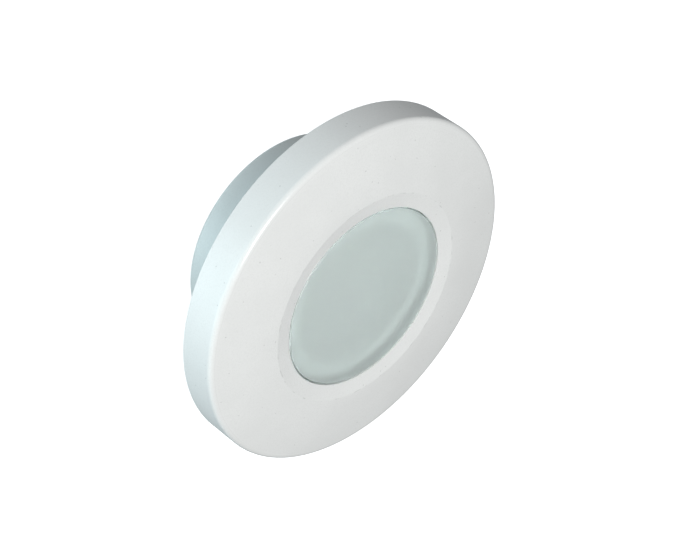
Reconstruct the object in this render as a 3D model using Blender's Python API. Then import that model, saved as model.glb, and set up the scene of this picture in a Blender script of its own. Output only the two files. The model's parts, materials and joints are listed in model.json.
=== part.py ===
"""Underwater pool light: a compact LED lamp for a round hole in a pool wall.

The lamp shines along -Y and +Z is up. The origin is the centre of the hole, on the wet face of
the wall, so the drum reaches along +Y into the wall and the trim ring stands out along -Y.
All sizes are in metres. A "y" below is a place on the lamp's axis.
"""

import math

import bmesh
import bpy
from mathutils import Matrix, Vector

# Two pieces that rest on each other, or sit one in the other, keep this gap.
GAP = 0.0003

# Facets around the axis of large, middling and small round pieces.
LARGE_FACETS = 48
ROUND_FACETS = 36
SMALL_FACETS = 20
TINY_FACETS = 12
WIRE_FACETS = 8
SIX_SIDES = 6

# Trim ring: a hollow crowned cover with a shallow dish around the window.
TRIM_RADIUS = 0.0750
TRIM_RIM_DEPTH = 0.0160
TRIM_CROWN = 0.0033
TRIM_WALL = 0.0026
TRIM_EDGE_ROUND = 0.0022
TRIM_DRAFT = 0.00015
TRIM_SKIRT_WALL = 0.0020
TRIM_SKIRT_CLEARANCE = 0.0022
DISH_WIDTH = 0.0066
DISH_DROP = 0.0012
CROWN_POWER = 1.35
PRY_NOTCH_WIDTH = 0.0100
PRY_NOTCH_DEPTH = 0.0018

# Window: one stepped disc of toughened glass.
WINDOW_RADIUS = 0.0387
WINDOW_CLEARANCE = 0.0004
WINDOW_BOSS_THICK = 0.0038
WINDOW_FLANGE_THICK = 0.0020
WINDOW_FLANGE_WIDTH = 0.0056
WINDOW_CHAMFER = 0.0006

# Clamp ring with its thinner lip over the glass, its cushion and screws, and the seal under the window.
CUSHION_THICK = 0.0005
CLAMP_THICK = 0.0022
CLAMP_LIP_THICK = 0.0010
CLAMP_SCREW_COUNT = 6
CLAMP_SCREW_RADIUS = 0.0020
CLAMP_SCREW_LENGTH = 0.0080
CLAMP_SCREW_HEAD_RADIUS = 0.0038
CLAMP_SCREW_HEAD_THICK = 0.0017
CLAMP_SCREW_SOCKET_RADIUS = 0.0014
CLAMP_SCREW_SOCKET_DEPTH = 0.0012
SEAL_THICK = 0.0016
SEAL_INSIDE_CLEARANCE = 0.0001

# Housing: collar, mounting flange and drum in one moulding.
SEAT_STEP = 0.0002
SEAT_THICK = 0.0028
POCKET_CLEARANCE = 0.0005
COLLAR_WALL = 0.0132
COLLAR_CHAMFER = 0.0006
FLANGE_THICK = 0.0040
FLANGE_CLEARANCE = 0.0028
FLANGE_CHAMFER = 0.0005
DRUM_CLEARANCE = 0.0009
DRUM_RADIUS = 0.0468
DRUM_DEPTH = 0.0326
DRUM_WALL = 0.0028
DRUM_BACK_WALL = 0.0030
DRUM_EDGE_ROUND = 0.0020
WALL_GASKET_THICK = 0.0017
WALL_GASKET_INSET = 0.0004
WALL_SCREW_COUNT = 4
WALL_SCREW_FIRST_DEGREES = 45
WALL_SCREW_HOLE_RADIUS = 0.0026
WALL_SCREW_HEAD_RADIUS = 0.0048
GRIP_RING_THICK = 0.0022

# Cable gland, in a well in the back of the drum.
GLAND_WELL_CLEARANCE = 0.0055
GLAND_WELL_DEPTH = 0.0080
GLAND_BOSS_WALL = 0.0040
GLAND_BOSS_REACH = 0.0040
GLAND_THREAD_STEP = 0.0008
GLAND_STUB_LENGTH = 0.0082
GLAND_WASHER_THICK = 0.0012
GLAND_WASHER_WIDTH = 0.0027
GLAND_HEX_STEP = 0.0037
GLAND_HEX_THICK = 0.0040
GLAND_NECK_WALL = 0.0010
GLAND_NECK_LENGTH = 0.0060
GLAND_CABLE_BORE = 0.0045
GLAND_SEAL_WALL = 0.0012
GLAND_SEAL_LENGTH = 0.0066
GLAND_SEAL_DEPTH = 0.0050
GLAND_SEAL_CHAMFER = 0.0005
GLAND_CLAMP_LENGTH = 0.0032
GLAND_CLAMP_WALL = 0.0010
GLAND_CLAMP_TAPER = 0.0008
GLAND_CLAMP_ROOT = 0.0012
GLAND_CLAMP_FINGERS = 6
GLAND_CLAMP_SLOT = 0.0009
GLAND_NUT_WALL = 0.0040
GLAND_NUT_LENGTH = 0.0112
GLAND_NUT_END_WALL = 0.0016
GLAND_NUT_CHAMFER = 0.0014
GLAND_NUT_SEAT = 0.0010
GLAND_MOUTH_CLEARANCE = 0.0006

# Light engine: reflector, board with lamps, thermal pad and heat sink.
REFLECTOR_LIP = 0.0072
REFLECTOR_WALL = 0.0012
REFLECTOR_CURVE = 1.5
REFLECTOR_MOUTH_INSET = 0.0070
LED_BOARD_CLEARANCE = 0.0033
LED_BOARD_THICK = 0.0016
LED_BOARD_Y = 0.0026
LED_COUNT_IN_RING = 8
LED_RING_INSET = 0.0080
LED_RADIUS = 0.0027
LED_BASE_THICK = 0.0009
LED_DOME_RADIUS = 0.0020
THERMAL_PAD_THICK = 0.0006
HEAT_SINK_THICK = 0.0040
HEAT_SINK_CLEARANCE = 0.0008
FIN_HEIGHT = 0.0028
FIN_THICK = 0.0020
FIN_PITCH = 0.0065
FIN_CLEARANCE = 0.0046
POST_COUNT = 3
POST_FIRST_DEGREES = 30
POST_RADIUS = 0.0053
POST_INSET = 0.0050
M3_RADIUS = 0.0015
M3_HEAD_RADIUS = 0.0027
M3_HEAD_THICK = 0.0020
M3_SOCKET_RADIUS = 0.0011
M3_SOCKET_DEPTH = 0.0011
M3_HEAD_TOP_SHARE = 0.8
BOARD_SCREW_COUNT = 3
BOARD_SCREW_STEP_DEGREES = 135
BOARD_SCREW_LENGTH = 0.0050
POST_SCREW_LENGTH = 0.0120

# Driver: a round board on spacers behind the heat sink, and what it carries.
DRIVER_BOARD_CLEARANCE = 0.0012
DRIVER_BOARD_THICK = 0.0016
DRIVER_SCREW_COUNT = 3
DRIVER_SCREW_FIRST_DEGREES = 90
DRIVER_SCREW_INSET = 0.0065
SPACER_LENGTH = 0.0034
SPACER_RADIUS = 0.0029
DRIVER_SCREW_BITE = 0.0026
PARTS_INSET = 0.0063
CAPACITOR_RADIUS = 0.0048
CAPACITOR_LENGTH = 0.0115
CAPACITOR_GROOVE_Y = 0.0014
CAPACITOR_GROOVE_DEPTH = 0.0005
CAPACITOR_CHAMFER = 0.0006
CAPACITOR_DEGREES = 38
INDUCTOR_RING_RADIUS = 0.0040
INDUCTOR_WINDING_RADIUS = 0.0020
INDUCTOR_DEGREES = 150
RECTIFIER_SIZE = (0.0080, 0.0070, 0.0045)
RECTIFIER_DEGREES = 292
TERMINAL_SIZE = (0.0100, 0.0095, 0.0080)
TERMINAL_DEGREES = 250
TERMINAL_SCREW_RADIUS = 0.0014
TERMINAL_HOLE_DEPTH = 0.0030
LEAD_RADIUS = 0.0007
LEAD_HOLE_RADIUS = 0.0018
LEAD_CLEARANCE = 0.0030
LEAD_RISE = 0.0014
LEAD_SPREAD_DEGREES = 11
LEAD_TOP_DEGREES = 90

# Places along the axis, each from the one before it.
FACE_EDGE_Y = -TRIM_RIM_DEPTH
DISH_RIM_Y = FACE_EDGE_Y - TRIM_CROWN
WINDOW_FRONT_Y = DISH_RIM_Y + DISH_DROP
WINDOW_STEP_Y = WINDOW_FRONT_Y + WINDOW_BOSS_THICK
WINDOW_BACK_Y = WINDOW_STEP_Y + WINDOW_FLANGE_THICK
CUSHION_BACK_Y = WINDOW_STEP_Y - GAP
CUSHION_FRONT_Y = CUSHION_BACK_Y - CUSHION_THICK
CLAMP_LIP_Y = CUSHION_FRONT_Y - GAP
CLAMP_FRONT_Y = CLAMP_LIP_Y - CLAMP_LIP_THICK
CLAMP_BACK_Y = CLAMP_FRONT_Y + CLAMP_THICK
TRIM_UNDERSIDE_Y = CLAMP_FRONT_Y - GAP
COLLAR_FRONT_Y = CLAMP_BACK_Y + GAP
SEAL_FRONT_Y = WINDOW_BACK_Y + GAP
SEAT_Y = SEAL_FRONT_Y + SEAL_THICK + GAP
FLANGE_BACK_Y = -(WALL_GASKET_THICK + GAP)
FLANGE_FRONT_Y = FLANGE_BACK_Y - FLANGE_THICK
DRUM_BACK_Y = DRUM_DEPTH
DRUM_FLOOR_Y = DRUM_BACK_Y - DRUM_BACK_WALL
WELL_FLOOR_Y = DRUM_BACK_Y - GLAND_WELL_DEPTH
BOSS_END_Y = WELL_FLOOR_Y - DRUM_BACK_WALL - GLAND_BOSS_REACH
LED_BOARD_BACK_Y = LED_BOARD_Y + LED_BOARD_THICK
THERMAL_PAD_Y = LED_BOARD_BACK_Y + GAP
HEAT_SINK_Y = THERMAL_PAD_Y + THERMAL_PAD_THICK + GAP
HEAT_SINK_BACK_Y = HEAT_SINK_Y + HEAT_SINK_THICK
POST_FRONT_Y = HEAT_SINK_BACK_Y + GAP
SPACER_Y = HEAT_SINK_BACK_Y + GAP
DRIVER_BOARD_Y = SPACER_Y + SPACER_LENGTH + GAP
DRIVER_BOARD_BACK_Y = DRIVER_BOARD_Y + DRIVER_BOARD_THICK
GLAND_WASHER_Y = WELL_FLOOR_Y + GAP
GLAND_HEX_Y = GLAND_WASHER_Y + GLAND_WASHER_THICK + GAP
GLAND_HEX_END_Y = GLAND_HEX_Y + GLAND_HEX_THICK
GLAND_NECK_END_Y = GLAND_HEX_END_Y + GLAND_NECK_LENGTH
GLAND_SEAL_SEAT_Y = GLAND_NECK_END_Y - GLAND_SEAL_DEPTH
GLAND_NUT_Y = GLAND_HEX_END_Y + 3 * GAP
GLAND_NUT_END_Y = GLAND_NUT_Y + GLAND_NUT_LENGTH

# Radii that follow from the driving sizes.
TRIM_BORE = WINDOW_RADIUS + WINDOW_CLEARANCE
DISH_RADIUS = TRIM_BORE + DISH_WIDTH
WINDOW_FLANGE_RADIUS = WINDOW_RADIUS + WINDOW_FLANGE_WIDTH
POCKET_RADIUS = WINDOW_FLANGE_RADIUS + POCKET_CLEARANCE
SEAT_BORE = WINDOW_RADIUS - SEAT_STEP
COLLAR_RADIUS = POCKET_RADIUS + COLLAR_WALL
CLAMP_BORE = WINDOW_RADIUS + 3 * GAP
CLAMP_RADIUS = COLLAR_RADIUS - GAP
CLAMP_SCREW_CIRCLE = (POCKET_RADIUS + COLLAR_RADIUS) / 2
FLANGE_RADIUS = TRIM_RADIUS - TRIM_WALL - FLANGE_CLEARANCE
WALL_SCREW_CIRCLE = (COLLAR_RADIUS + FLANGE_RADIUS) / 2
GASKET_INSIDE_RADIUS = DRUM_RADIUS + DRUM_CLEARANCE
GASKET_RADIUS = FLANGE_RADIUS - WALL_GASKET_INSET
DRUM_INSIDE_RADIUS = DRUM_RADIUS - DRUM_WALL
GRIP_RING_REACH = COLLAR_RADIUS + GAP
SKIRT_BORE = GRIP_RING_REACH + GAP
HEAT_SINK_RADIUS = DRUM_INSIDE_RADIUS - HEAT_SINK_CLEARANCE
POST_CIRCLE = DRUM_INSIDE_RADIUS - POST_INSET
LED_BOARD_RADIUS = POST_CIRCLE - M3_HEAD_RADIUS - LED_BOARD_CLEARANCE
LEAD_CIRCLE = LED_BOARD_RADIUS + LEAD_CLEARANCE
REFLECTOR_MOUTH = LED_BOARD_RADIUS - REFLECTOR_MOUTH_INSET
LED_RING_RADIUS = REFLECTOR_MOUTH - LED_RING_INSET
BOARD_SCREW_CIRCLE = LED_RING_RADIUS / 2
DRIVER_BOARD_RADIUS = POST_CIRCLE - POST_RADIUS - DRIVER_BOARD_CLEARANCE
DRIVER_SCREW_CIRCLE = DRIVER_BOARD_RADIUS - DRIVER_SCREW_INSET
PARTS_CIRCLE = DRIVER_BOARD_RADIUS - PARTS_INSET
OUTER_FIN_RADIUS = DRIVER_SCREW_CIRCLE - SPACER_RADIUS - FIN_CLEARANCE
FIN_RADII = (OUTER_FIN_RADIUS - FIN_PITCH, OUTER_FIN_RADIUS)
GLAND_SEAL_RADIUS = GLAND_CABLE_BORE + GLAND_SEAL_WALL
GLAND_SEAL_BORE = GLAND_SEAL_RADIUS + GAP
GLAND_NECK_RADIUS = GLAND_SEAL_BORE + GLAND_NECK_WALL
GLAND_NUT_RADIUS = GLAND_NECK_RADIUS + GLAND_NUT_WALL
GLAND_THREAD_RADIUS = GLAND_NECK_RADIUS + GLAND_THREAD_STEP
GLAND_HEX_RADIUS = GLAND_THREAD_RADIUS + GLAND_HEX_STEP
GLAND_WELL_RADIUS = GLAND_HEX_RADIUS + GLAND_WELL_CLEARANCE
GLAND_BORE = GLAND_THREAD_RADIUS + GAP
GLAND_BOSS_RADIUS = GLAND_BORE + GLAND_BOSS_WALL

# The turn that takes a helper's own axis to the lamp's, and the same helpers' reach past a face.
ALONG_Y = Matrix.Rotation(math.radians(-90), 4, "X")
PAST = 0.001
SHARP_ANGLE = math.radians(30)


# Material name: (red, green, blue, roughness, metallic).
FINISHES = {
    "white_plastic": (0.80, 0.82, 0.81, 0.50, 0.0),
    "frosted_glass": (0.62, 0.72, 0.69, 0.35, 0.0),
    "grey_rubber": (0.20, 0.21, 0.22, 0.80, 0.0),
    "clear_silicone": (0.75, 0.76, 0.74, 0.55, 0.0),
    "stainless": (0.62, 0.62, 0.60, 0.30, 1.0),
    "aluminium": (0.72, 0.73, 0.74, 0.40, 1.0),
    "reflector_white": (0.88, 0.88, 0.86, 0.45, 0.0),
    "board_white": (0.85, 0.85, 0.83, 0.50, 0.0),
    "board_green": (0.05, 0.25, 0.12, 0.45, 0.0),
    "led_phosphor": (0.90, 0.75, 0.25, 0.30, 0.0),
    "black_plastic": (0.03, 0.03, 0.03, 0.45, 0.0),
    "copper": (0.70, 0.32, 0.14, 0.35, 1.0),
    "green_plastic": (0.06, 0.38, 0.16, 0.45, 0.0),
    "red_insulation": (0.55, 0.04, 0.03, 0.50, 0.0),
    "thermal_grey": (0.45, 0.48, 0.52, 0.80, 0.0),
}


def clear_scene():
    """Removes every object that the file opened with."""
    for obj in list(bpy.data.objects):
        bpy.data.objects.remove(obj, do_unlink=True)


def finish_of(name):
    """The material of that name, made on first use."""
    material = bpy.data.materials.get(name)
    if material is None:
        red, green, blue, roughness, metallic = FINISHES[name]
        material = bpy.data.materials.new(name)
        material.use_nodes = True
        shader = material.node_tree.nodes["Principled BSDF"]
        shader.inputs["Base Color"].default_value = (red, green, blue, 1.0)
        shader.inputs["Roughness"].default_value = roughness
        shader.inputs["Metallic"].default_value = metallic
    return material


def on_circle(radius, degrees, y=0.0):
    """The point at that radius and angle around the lamp's axis."""
    angle = math.radians(degrees)
    return Vector((radius * math.cos(angle), y, radius * math.sin(angle)))


def ring_places(radius, count, first_degrees=0.0, step_degrees=None):
    """Points on a circle around the lamp's axis, spread evenly unless a step is given."""
    step = step_degrees or 360 / count
    return [on_circle(radius, first_degrees + step * number) for number in range(count)]


def clamp_screw_places():
    """Where the clamp screws go."""
    return ring_places(CLAMP_SCREW_CIRCLE, CLAMP_SCREW_COUNT)


def wall_screw_places():
    """Where the wall screws go."""
    return ring_places(WALL_SCREW_CIRCLE, WALL_SCREW_COUNT, WALL_SCREW_FIRST_DEGREES)


def post_places():
    """Where the posts stand, and the heat sink's screws."""
    return ring_places(POST_CIRCLE, POST_COUNT, POST_FIRST_DEGREES)


def board_screw_places():
    """Where the screws of the board of lamps go, each between two lamps."""
    between = 180 / LED_COUNT_IN_RING
    return ring_places(BOARD_SCREW_CIRCLE, BOARD_SCREW_COUNT, between, BOARD_SCREW_STEP_DEGREES)


def driver_screw_places():
    """Where the driver board's screws and spacers go."""
    return ring_places(DRIVER_SCREW_CIRCLE, DRIVER_SCREW_COUNT, DRIVER_SCREW_FIRST_DEGREES)


def lead_places():
    """Where the two leads pass the heat sink."""
    degrees = (LEAD_TOP_DEGREES - LEAD_SPREAD_DEGREES, LEAD_TOP_DEGREES + LEAD_SPREAD_DEGREES)
    return [on_circle(LEAD_CIRCLE, angle) for angle in degrees]


def add_object(name, mesh, finish=None):
    """Links a mesh to the scene, with its finish and smooth round faces."""
    obj = bpy.data.objects.new(name, mesh)
    bpy.context.scene.collection.objects.link(obj)
    if finish and not mesh.materials:
        mesh.materials.append(finish_of(finish))
    mesh.shade_smooth()
    mesh.set_sharp_from_angle(angle=SHARP_ANGLE)
    return obj


def mesh_from(builder, name):
    """Turns a bmesh into a mesh whose faces point outwards."""
    bmesh.ops.remove_doubles(builder, verts=builder.verts, dist=1e-6)
    bmesh.ops.recalc_face_normals(builder, faces=builder.faces)
    mesh = bpy.data.meshes.new(name)
    builder.to_mesh(mesh)
    builder.free()
    return mesh


def turned_mesh(name, outline, facets):
    """Spins a closed outline of (radius, y) points once around the Y axis."""
    builder = bmesh.new()
    corners = [builder.verts.new((radius, y, 0.0)) for radius, y in outline]
    sides = []
    for first, second in zip(corners, corners[1:] + corners[:1]):
        if first.co.x > 0 or second.co.x > 0:
            sides.append(builder.edges.new((first, second)))
    bmesh.ops.spin(
        builder,
        geom=corners + sides,
        cent=(0, 0, 0),
        axis=(0, 1, 0),
        angle=math.tau,
        steps=facets,
        use_merge=True,
    )
    return mesh_from(builder, name)


def turned(name, outline, finish, facets=ROUND_FACETS):
    """A turned piece on the lamp's own axis."""
    return add_object(name, turned_mesh(name, outline, facets), finish)


def tube_outline(inside, outside, front, back):
    """The outline of a plain ring."""
    return [(inside, front), (outside, front), (outside, back), (inside, back)]


def quarter_round(centre, radius, start_degrees, steps):
    """Points of a quarter circle in the (radius, y) plane, both ends included."""
    points = []
    for step in range(steps + 1):
        angle = math.radians(start_degrees + 90 * step / steps)
        points.append((centre[0] + radius * math.cos(angle), centre[1] + radius * math.sin(angle)))
    return points


def rods_mesh(name, places, radius, front, back, facets=TINY_FACETS):
    """Separate rods along Y at these places, for cutting or joining."""
    return cones_mesh(name, places, (radius, radius), front, back, facets)


def cones_mesh(name, places, radii, front, back, facets=TINY_FACETS):
    """Separate cones along Y with these (front, back) radii, as countersinks are cut by."""
    builder = bmesh.new()
    for place in places:
        middle = Vector((place.x, (front + back) / 2, place.z))
        bmesh.ops.create_cone(
            builder,
            cap_ends=True,
            segments=facets,
            radius1=radii[0],
            radius2=radii[1],
            depth=back - front,
            matrix=Matrix.Translation(middle) @ ALONG_Y,
        )
    return mesh_from(builder, name)


def box_mesh(name, size, centre=Vector((0, 0, 0)), degrees=0.0):
    """A box of (along X, along Y, along Z) size, turned about the lamp's axis."""
    builder = bmesh.new()
    turn = Matrix.Rotation(math.radians(-degrees), 4, "Y")
    place = Matrix.Translation(centre) @ turn @ Matrix.Diagonal((*size, 1.0))
    bmesh.ops.create_cube(builder, size=1.0, matrix=place)
    return mesh_from(builder, name)


def helper(name, mesh):
    """An object that only cuts or joins: it isn't part of the model."""
    obj = bpy.data.objects.new(name, mesh)
    bpy.context.scene.collection.objects.link(obj)
    obj.hide_render = True
    obj.display_type = "WIRE"
    return obj


def shape_with(obj, mesh, operation):
    """Cuts, joins or trims obj by a helper made of this mesh."""
    modifier = obj.modifiers.new(mesh.name, "BOOLEAN")
    modifier.operation = operation
    modifier.solver = "EXACT"
    modifier.object = helper(mesh.name, mesh)
    return obj


def cut(obj, mesh):
    """Takes the shape of mesh out of obj."""
    return shape_with(obj, mesh, "DIFFERENCE")


def settled_mesh(obj, name):
    """The object's mesh with its modifiers worked in, for copies to share."""
    bpy.context.view_layer.update()
    graph = bpy.context.evaluated_depsgraph_get()
    mesh = bpy.data.meshes.new_from_object(obj.evaluated_get(graph))
    mesh.name = name
    for modifier in obj.modifiers:
        bpy.data.objects.remove(modifier.object, do_unlink=True)
    bpy.data.objects.remove(obj, do_unlink=True)
    return mesh


def copies(name, mesh, finish, places):
    """One object for each place, numbered from 1, all sharing one mesh."""
    made = []
    for number, place in enumerate(places, start=1):
        obj = add_object(f"{name}_{number}", mesh, finish)
        obj.location = place
        made.append(obj)
    return made


def trim_face_y(radius):
    """How far forward the crowned face of the trim ring is at this radius."""
    outer = TRIM_RADIUS - TRIM_DRAFT - TRIM_EDGE_ROUND
    share = (radius - DISH_RADIUS) / (outer - DISH_RADIUS)
    return DISH_RIM_Y + TRIM_CROWN * share**CROWN_POWER


def make_trim_ring():
    """Hollow crowned ring with a skirt that grips the collar of the housing."""
    front_radius = TRIM_RADIUS - TRIM_DRAFT
    edge_centre = (front_radius - TRIM_EDGE_ROUND, FACE_EDGE_Y + TRIM_EDGE_ROUND)
    inside_radius = TRIM_RADIUS - TRIM_WALL
    skirt_radius = SKIRT_BORE + TRIM_SKIRT_WALL
    face_steps = 4
    face_radii = [
        DISH_RADIUS + (edge_centre[0] - DISH_RADIUS) * step / face_steps for step in range(face_steps)
    ]
    outline = [(TRIM_BORE, TRIM_UNDERSIDE_Y), (TRIM_BORE, WINDOW_FRONT_Y)]
    outline += [(radius, trim_face_y(radius)) for radius in face_radii]
    outline += quarter_round(edge_centre, TRIM_EDGE_ROUND, -90, 3)
    outline += [(TRIM_RADIUS, 0.0), (inside_radius, 0.0)]
    outline += [
        (inside_radius, FACE_EDGE_Y + TRIM_WALL),
        (skirt_radius, trim_face_y(skirt_radius) + TRIM_WALL),
        (skirt_radius, FLANGE_FRONT_Y - TRIM_SKIRT_CLEARANCE),
        (SKIRT_BORE, FLANGE_FRONT_Y - TRIM_SKIRT_CLEARANCE),
        (SKIRT_BORE, TRIM_UNDERSIDE_Y),
    ]
    ring = turned("trim_ring", outline, "white_plastic", LARGE_FACETS)
    notch_size = (PRY_NOTCH_WIDTH, 2 * PRY_NOTCH_DEPTH, 4 * TRIM_WALL)
    notch = box_mesh("pry_notch", notch_size, Vector((0, 0, -TRIM_RADIUS)))
    return cut(ring, notch)


def make_window():
    """Stepped glass disc: the boss fills the trim's bore, and the flange is clamped."""
    outline = [
        (0.0, WINDOW_FRONT_Y),
        (WINDOW_RADIUS - WINDOW_CHAMFER, WINDOW_FRONT_Y),
        (WINDOW_RADIUS, WINDOW_FRONT_Y + WINDOW_CHAMFER),
        (WINDOW_RADIUS, WINDOW_STEP_Y),
        (WINDOW_FLANGE_RADIUS, WINDOW_STEP_Y),
        (WINDOW_FLANGE_RADIUS, WINDOW_BACK_Y),
        (0.0, WINDOW_BACK_Y),
    ]
    return turned("window_glass", outline, "frosted_glass")


def make_window_seals():
    """The cushion between clamp and glass, and the seal that the glass sits on."""
    cushion = tube_outline(CLAMP_BORE, WINDOW_FLANGE_RADIUS, CUSHION_FRONT_Y, CUSHION_BACK_Y)
    turned("window_cushion", cushion, "clear_silicone")
    inside = SEAT_BORE + SEAL_INSIDE_CLEARANCE
    seal = tube_outline(inside, WINDOW_FLANGE_RADIUS, SEAL_FRONT_Y, SEAL_FRONT_Y + SEAL_THICK)
    turned("window_seal", seal, "clear_silicone")


def make_clamp_ring():
    """Steel ring with countersunk holes, and a thinner lip that holds the glass down."""
    outline = [
        (CLAMP_BORE, CLAMP_FRONT_Y),
        (CLAMP_RADIUS, CLAMP_FRONT_Y),
        (CLAMP_RADIUS, CLAMP_BACK_Y),
        (POCKET_RADIUS, CLAMP_BACK_Y),
        (POCKET_RADIUS, CLAMP_LIP_Y),
        (CLAMP_BORE, CLAMP_LIP_Y),
    ]
    ring = turned("clamp_ring", outline, "stainless")
    places = clamp_screw_places()
    hole = CLAMP_SCREW_RADIUS + GAP
    cut(ring, rods_mesh("clamp_holes", places, hole, CLAMP_FRONT_Y - PAST, CLAMP_BACK_Y + PAST))
    sink_back = CLAMP_FRONT_Y + CLAMP_SCREW_HEAD_THICK + GAP
    head = CLAMP_SCREW_HEAD_RADIUS + 2 * GAP
    slope = (head - hole) / (sink_back - CLAMP_FRONT_Y)
    radii = (head + slope * PAST, hole)
    return cut(ring, cones_mesh("clamp_sinks", places, radii, CLAMP_FRONT_Y - PAST, sink_back))


def socket_screw_mesh(name, outline, socket_radius, socket_front, socket_depth):
    """A turned screw with a hexagon socket in its head."""
    screw = turned(name, outline, None, TINY_FACETS)
    places = [Vector((0, 0, 0))]
    socket_back = socket_front + socket_depth
    cut(screw, rods_mesh("socket", places, socket_radius, socket_front - PAST, socket_back, SIX_SIDES))
    return settled_mesh(screw, name)


def make_clamp_screws():
    """Countersunk screws through the clamp ring into the collar."""
    outline = [
        (0.0, CLAMP_FRONT_Y),
        (CLAMP_SCREW_HEAD_RADIUS, CLAMP_FRONT_Y),
        (CLAMP_SCREW_RADIUS, CLAMP_FRONT_Y + CLAMP_SCREW_HEAD_THICK),
        (CLAMP_SCREW_RADIUS, CLAMP_FRONT_Y + CLAMP_SCREW_LENGTH - CLAMP_SCREW_RADIUS / 2),
        (CLAMP_SCREW_RADIUS / 2, CLAMP_FRONT_Y + CLAMP_SCREW_LENGTH),
        (0.0, CLAMP_FRONT_Y + CLAMP_SCREW_LENGTH),
    ]
    mesh = socket_screw_mesh(
        "clamp_screw", outline, CLAMP_SCREW_SOCKET_RADIUS, CLAMP_FRONT_Y, CLAMP_SCREW_SOCKET_DEPTH
    )
    copies("clamp_screw", mesh, "stainless", clamp_screw_places())


def grip_groove():
    """(front, back, floor radius) of the collar's groove for the grip ring."""
    middle = (COLLAR_FRONT_Y + FLANGE_FRONT_Y) / 2
    half = GRIP_RING_THICK / 2 + GAP
    return middle - half, middle + half, GRIP_RING_REACH - GRIP_RING_THICK - GAP


def housing_outline():
    """Half section of the housing, from the gland hole round the inside and back outside."""
    groove_front, groove_back, groove_floor = grip_groove()
    well_wall_radius = GLAND_WELL_RADIUS + DRUM_WALL
    well_ceiling_y = WELL_FLOOR_Y - DRUM_BACK_WALL
    edge_centre = (DRUM_RADIUS - DRUM_EDGE_ROUND, DRUM_BACK_Y - DRUM_EDGE_ROUND)
    inside = [
        (GLAND_BORE, BOSS_END_Y),
        (GLAND_BOSS_RADIUS, BOSS_END_Y),
        (GLAND_BOSS_RADIUS, well_ceiling_y),
        (well_wall_radius, well_ceiling_y),
        (well_wall_radius, DRUM_FLOOR_Y),
        (DRUM_INSIDE_RADIUS, DRUM_FLOOR_Y),
        (DRUM_INSIDE_RADIUS, SEAT_Y + SEAT_THICK),
        (SEAT_BORE, SEAT_Y + SEAT_THICK),
        (SEAT_BORE, SEAT_Y),
        (POCKET_RADIUS, SEAT_Y),
        (POCKET_RADIUS, COLLAR_FRONT_Y),
    ]
    collar = [
        (COLLAR_RADIUS - COLLAR_CHAMFER, COLLAR_FRONT_Y),
        (COLLAR_RADIUS, COLLAR_FRONT_Y + COLLAR_CHAMFER),
        (COLLAR_RADIUS, groove_front),
        (groove_floor, groove_front),
        (groove_floor, groove_back),
        (COLLAR_RADIUS, groove_back),
    ]
    flange = [
        (COLLAR_RADIUS, FLANGE_FRONT_Y),
        (FLANGE_RADIUS - FLANGE_CHAMFER, FLANGE_FRONT_Y),
        (FLANGE_RADIUS, FLANGE_FRONT_Y + FLANGE_CHAMFER),
        (FLANGE_RADIUS, FLANGE_BACK_Y),
    ]
    drum = [(DRUM_RADIUS, FLANGE_BACK_Y)]
    drum += quarter_round(edge_centre, DRUM_EDGE_ROUND, 0, 3)
    drum += [
        (GLAND_WELL_RADIUS, DRUM_BACK_Y),
        (GLAND_WELL_RADIUS, WELL_FLOOR_Y),
        (GLAND_BORE, WELL_FLOOR_Y),
    ]
    return inside + collar + flange + drum


def make_housing():
    """The moulding that holds everything: collar, flange, drum, gland well and posts."""
    housing = turned("housing", housing_outline(), "white_plastic", LARGE_FACETS)
    posts = post_places()
    footing = DRUM_FLOOR_Y + PAST
    post_rods = rods_mesh("posts", posts, POST_RADIUS, POST_FRONT_Y, footing, SMALL_FACETS)
    shape_with(housing, post_rods, "UNION")
    pilot_back = HEAT_SINK_Y + POST_SCREW_LENGTH + 2 * GAP
    cut(housing, rods_mesh("post_pilots", posts, M3_RADIUS + GAP, POST_FRONT_Y - PAST, pilot_back))
    clamp_pilot = CLAMP_SCREW_RADIUS + GAP
    clamp_back = CLAMP_FRONT_Y + CLAMP_SCREW_LENGTH + 2 * GAP
    clamp_front = COLLAR_FRONT_Y - PAST
    cut(housing, rods_mesh("clamp_pilots", clamp_screw_places(), clamp_pilot, clamp_front, clamp_back))
    places = wall_screw_places()
    hole = WALL_SCREW_HOLE_RADIUS
    head = WALL_SCREW_HEAD_RADIUS
    cut(housing, rods_mesh("wall_holes", places, hole, FLANGE_FRONT_Y - PAST, FLANGE_BACK_Y + PAST))
    sink_back = FLANGE_FRONT_Y + head - hole
    radii = (head + PAST, hole)
    return cut(housing, cones_mesh("wall_sinks", places, radii, FLANGE_FRONT_Y - PAST, sink_back))


def make_wall_gasket():
    """Flat ring between the flange and the pool wall, with holes for the wall screws."""
    front = FLANGE_BACK_Y + GAP
    outline = tube_outline(GASKET_INSIDE_RADIUS, GASKET_RADIUS, front, 0.0)
    gasket = turned("wall_gasket", outline, "grey_rubber")
    hole = WALL_SCREW_HOLE_RADIUS + GAP
    return cut(gasket, rods_mesh("gasket_holes", wall_screw_places(), hole, front - PAST, PAST))


def make_grip_ring():
    """Rubber ring in the collar's groove, which holds the pushed-on trim ring."""
    groove_front, groove_back, _ = grip_groove()
    half = GRIP_RING_THICK / 2
    middle = (groove_front + groove_back) / 2
    centre = GRIP_RING_REACH - half
    outline = []
    for step in range(WIRE_FACETS):
        angle = math.tau * step / WIRE_FACETS
        outline.append((centre + half * math.cos(angle), middle + half * math.sin(angle)))
    return turned("grip_ring", outline, "grey_rubber")


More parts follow.
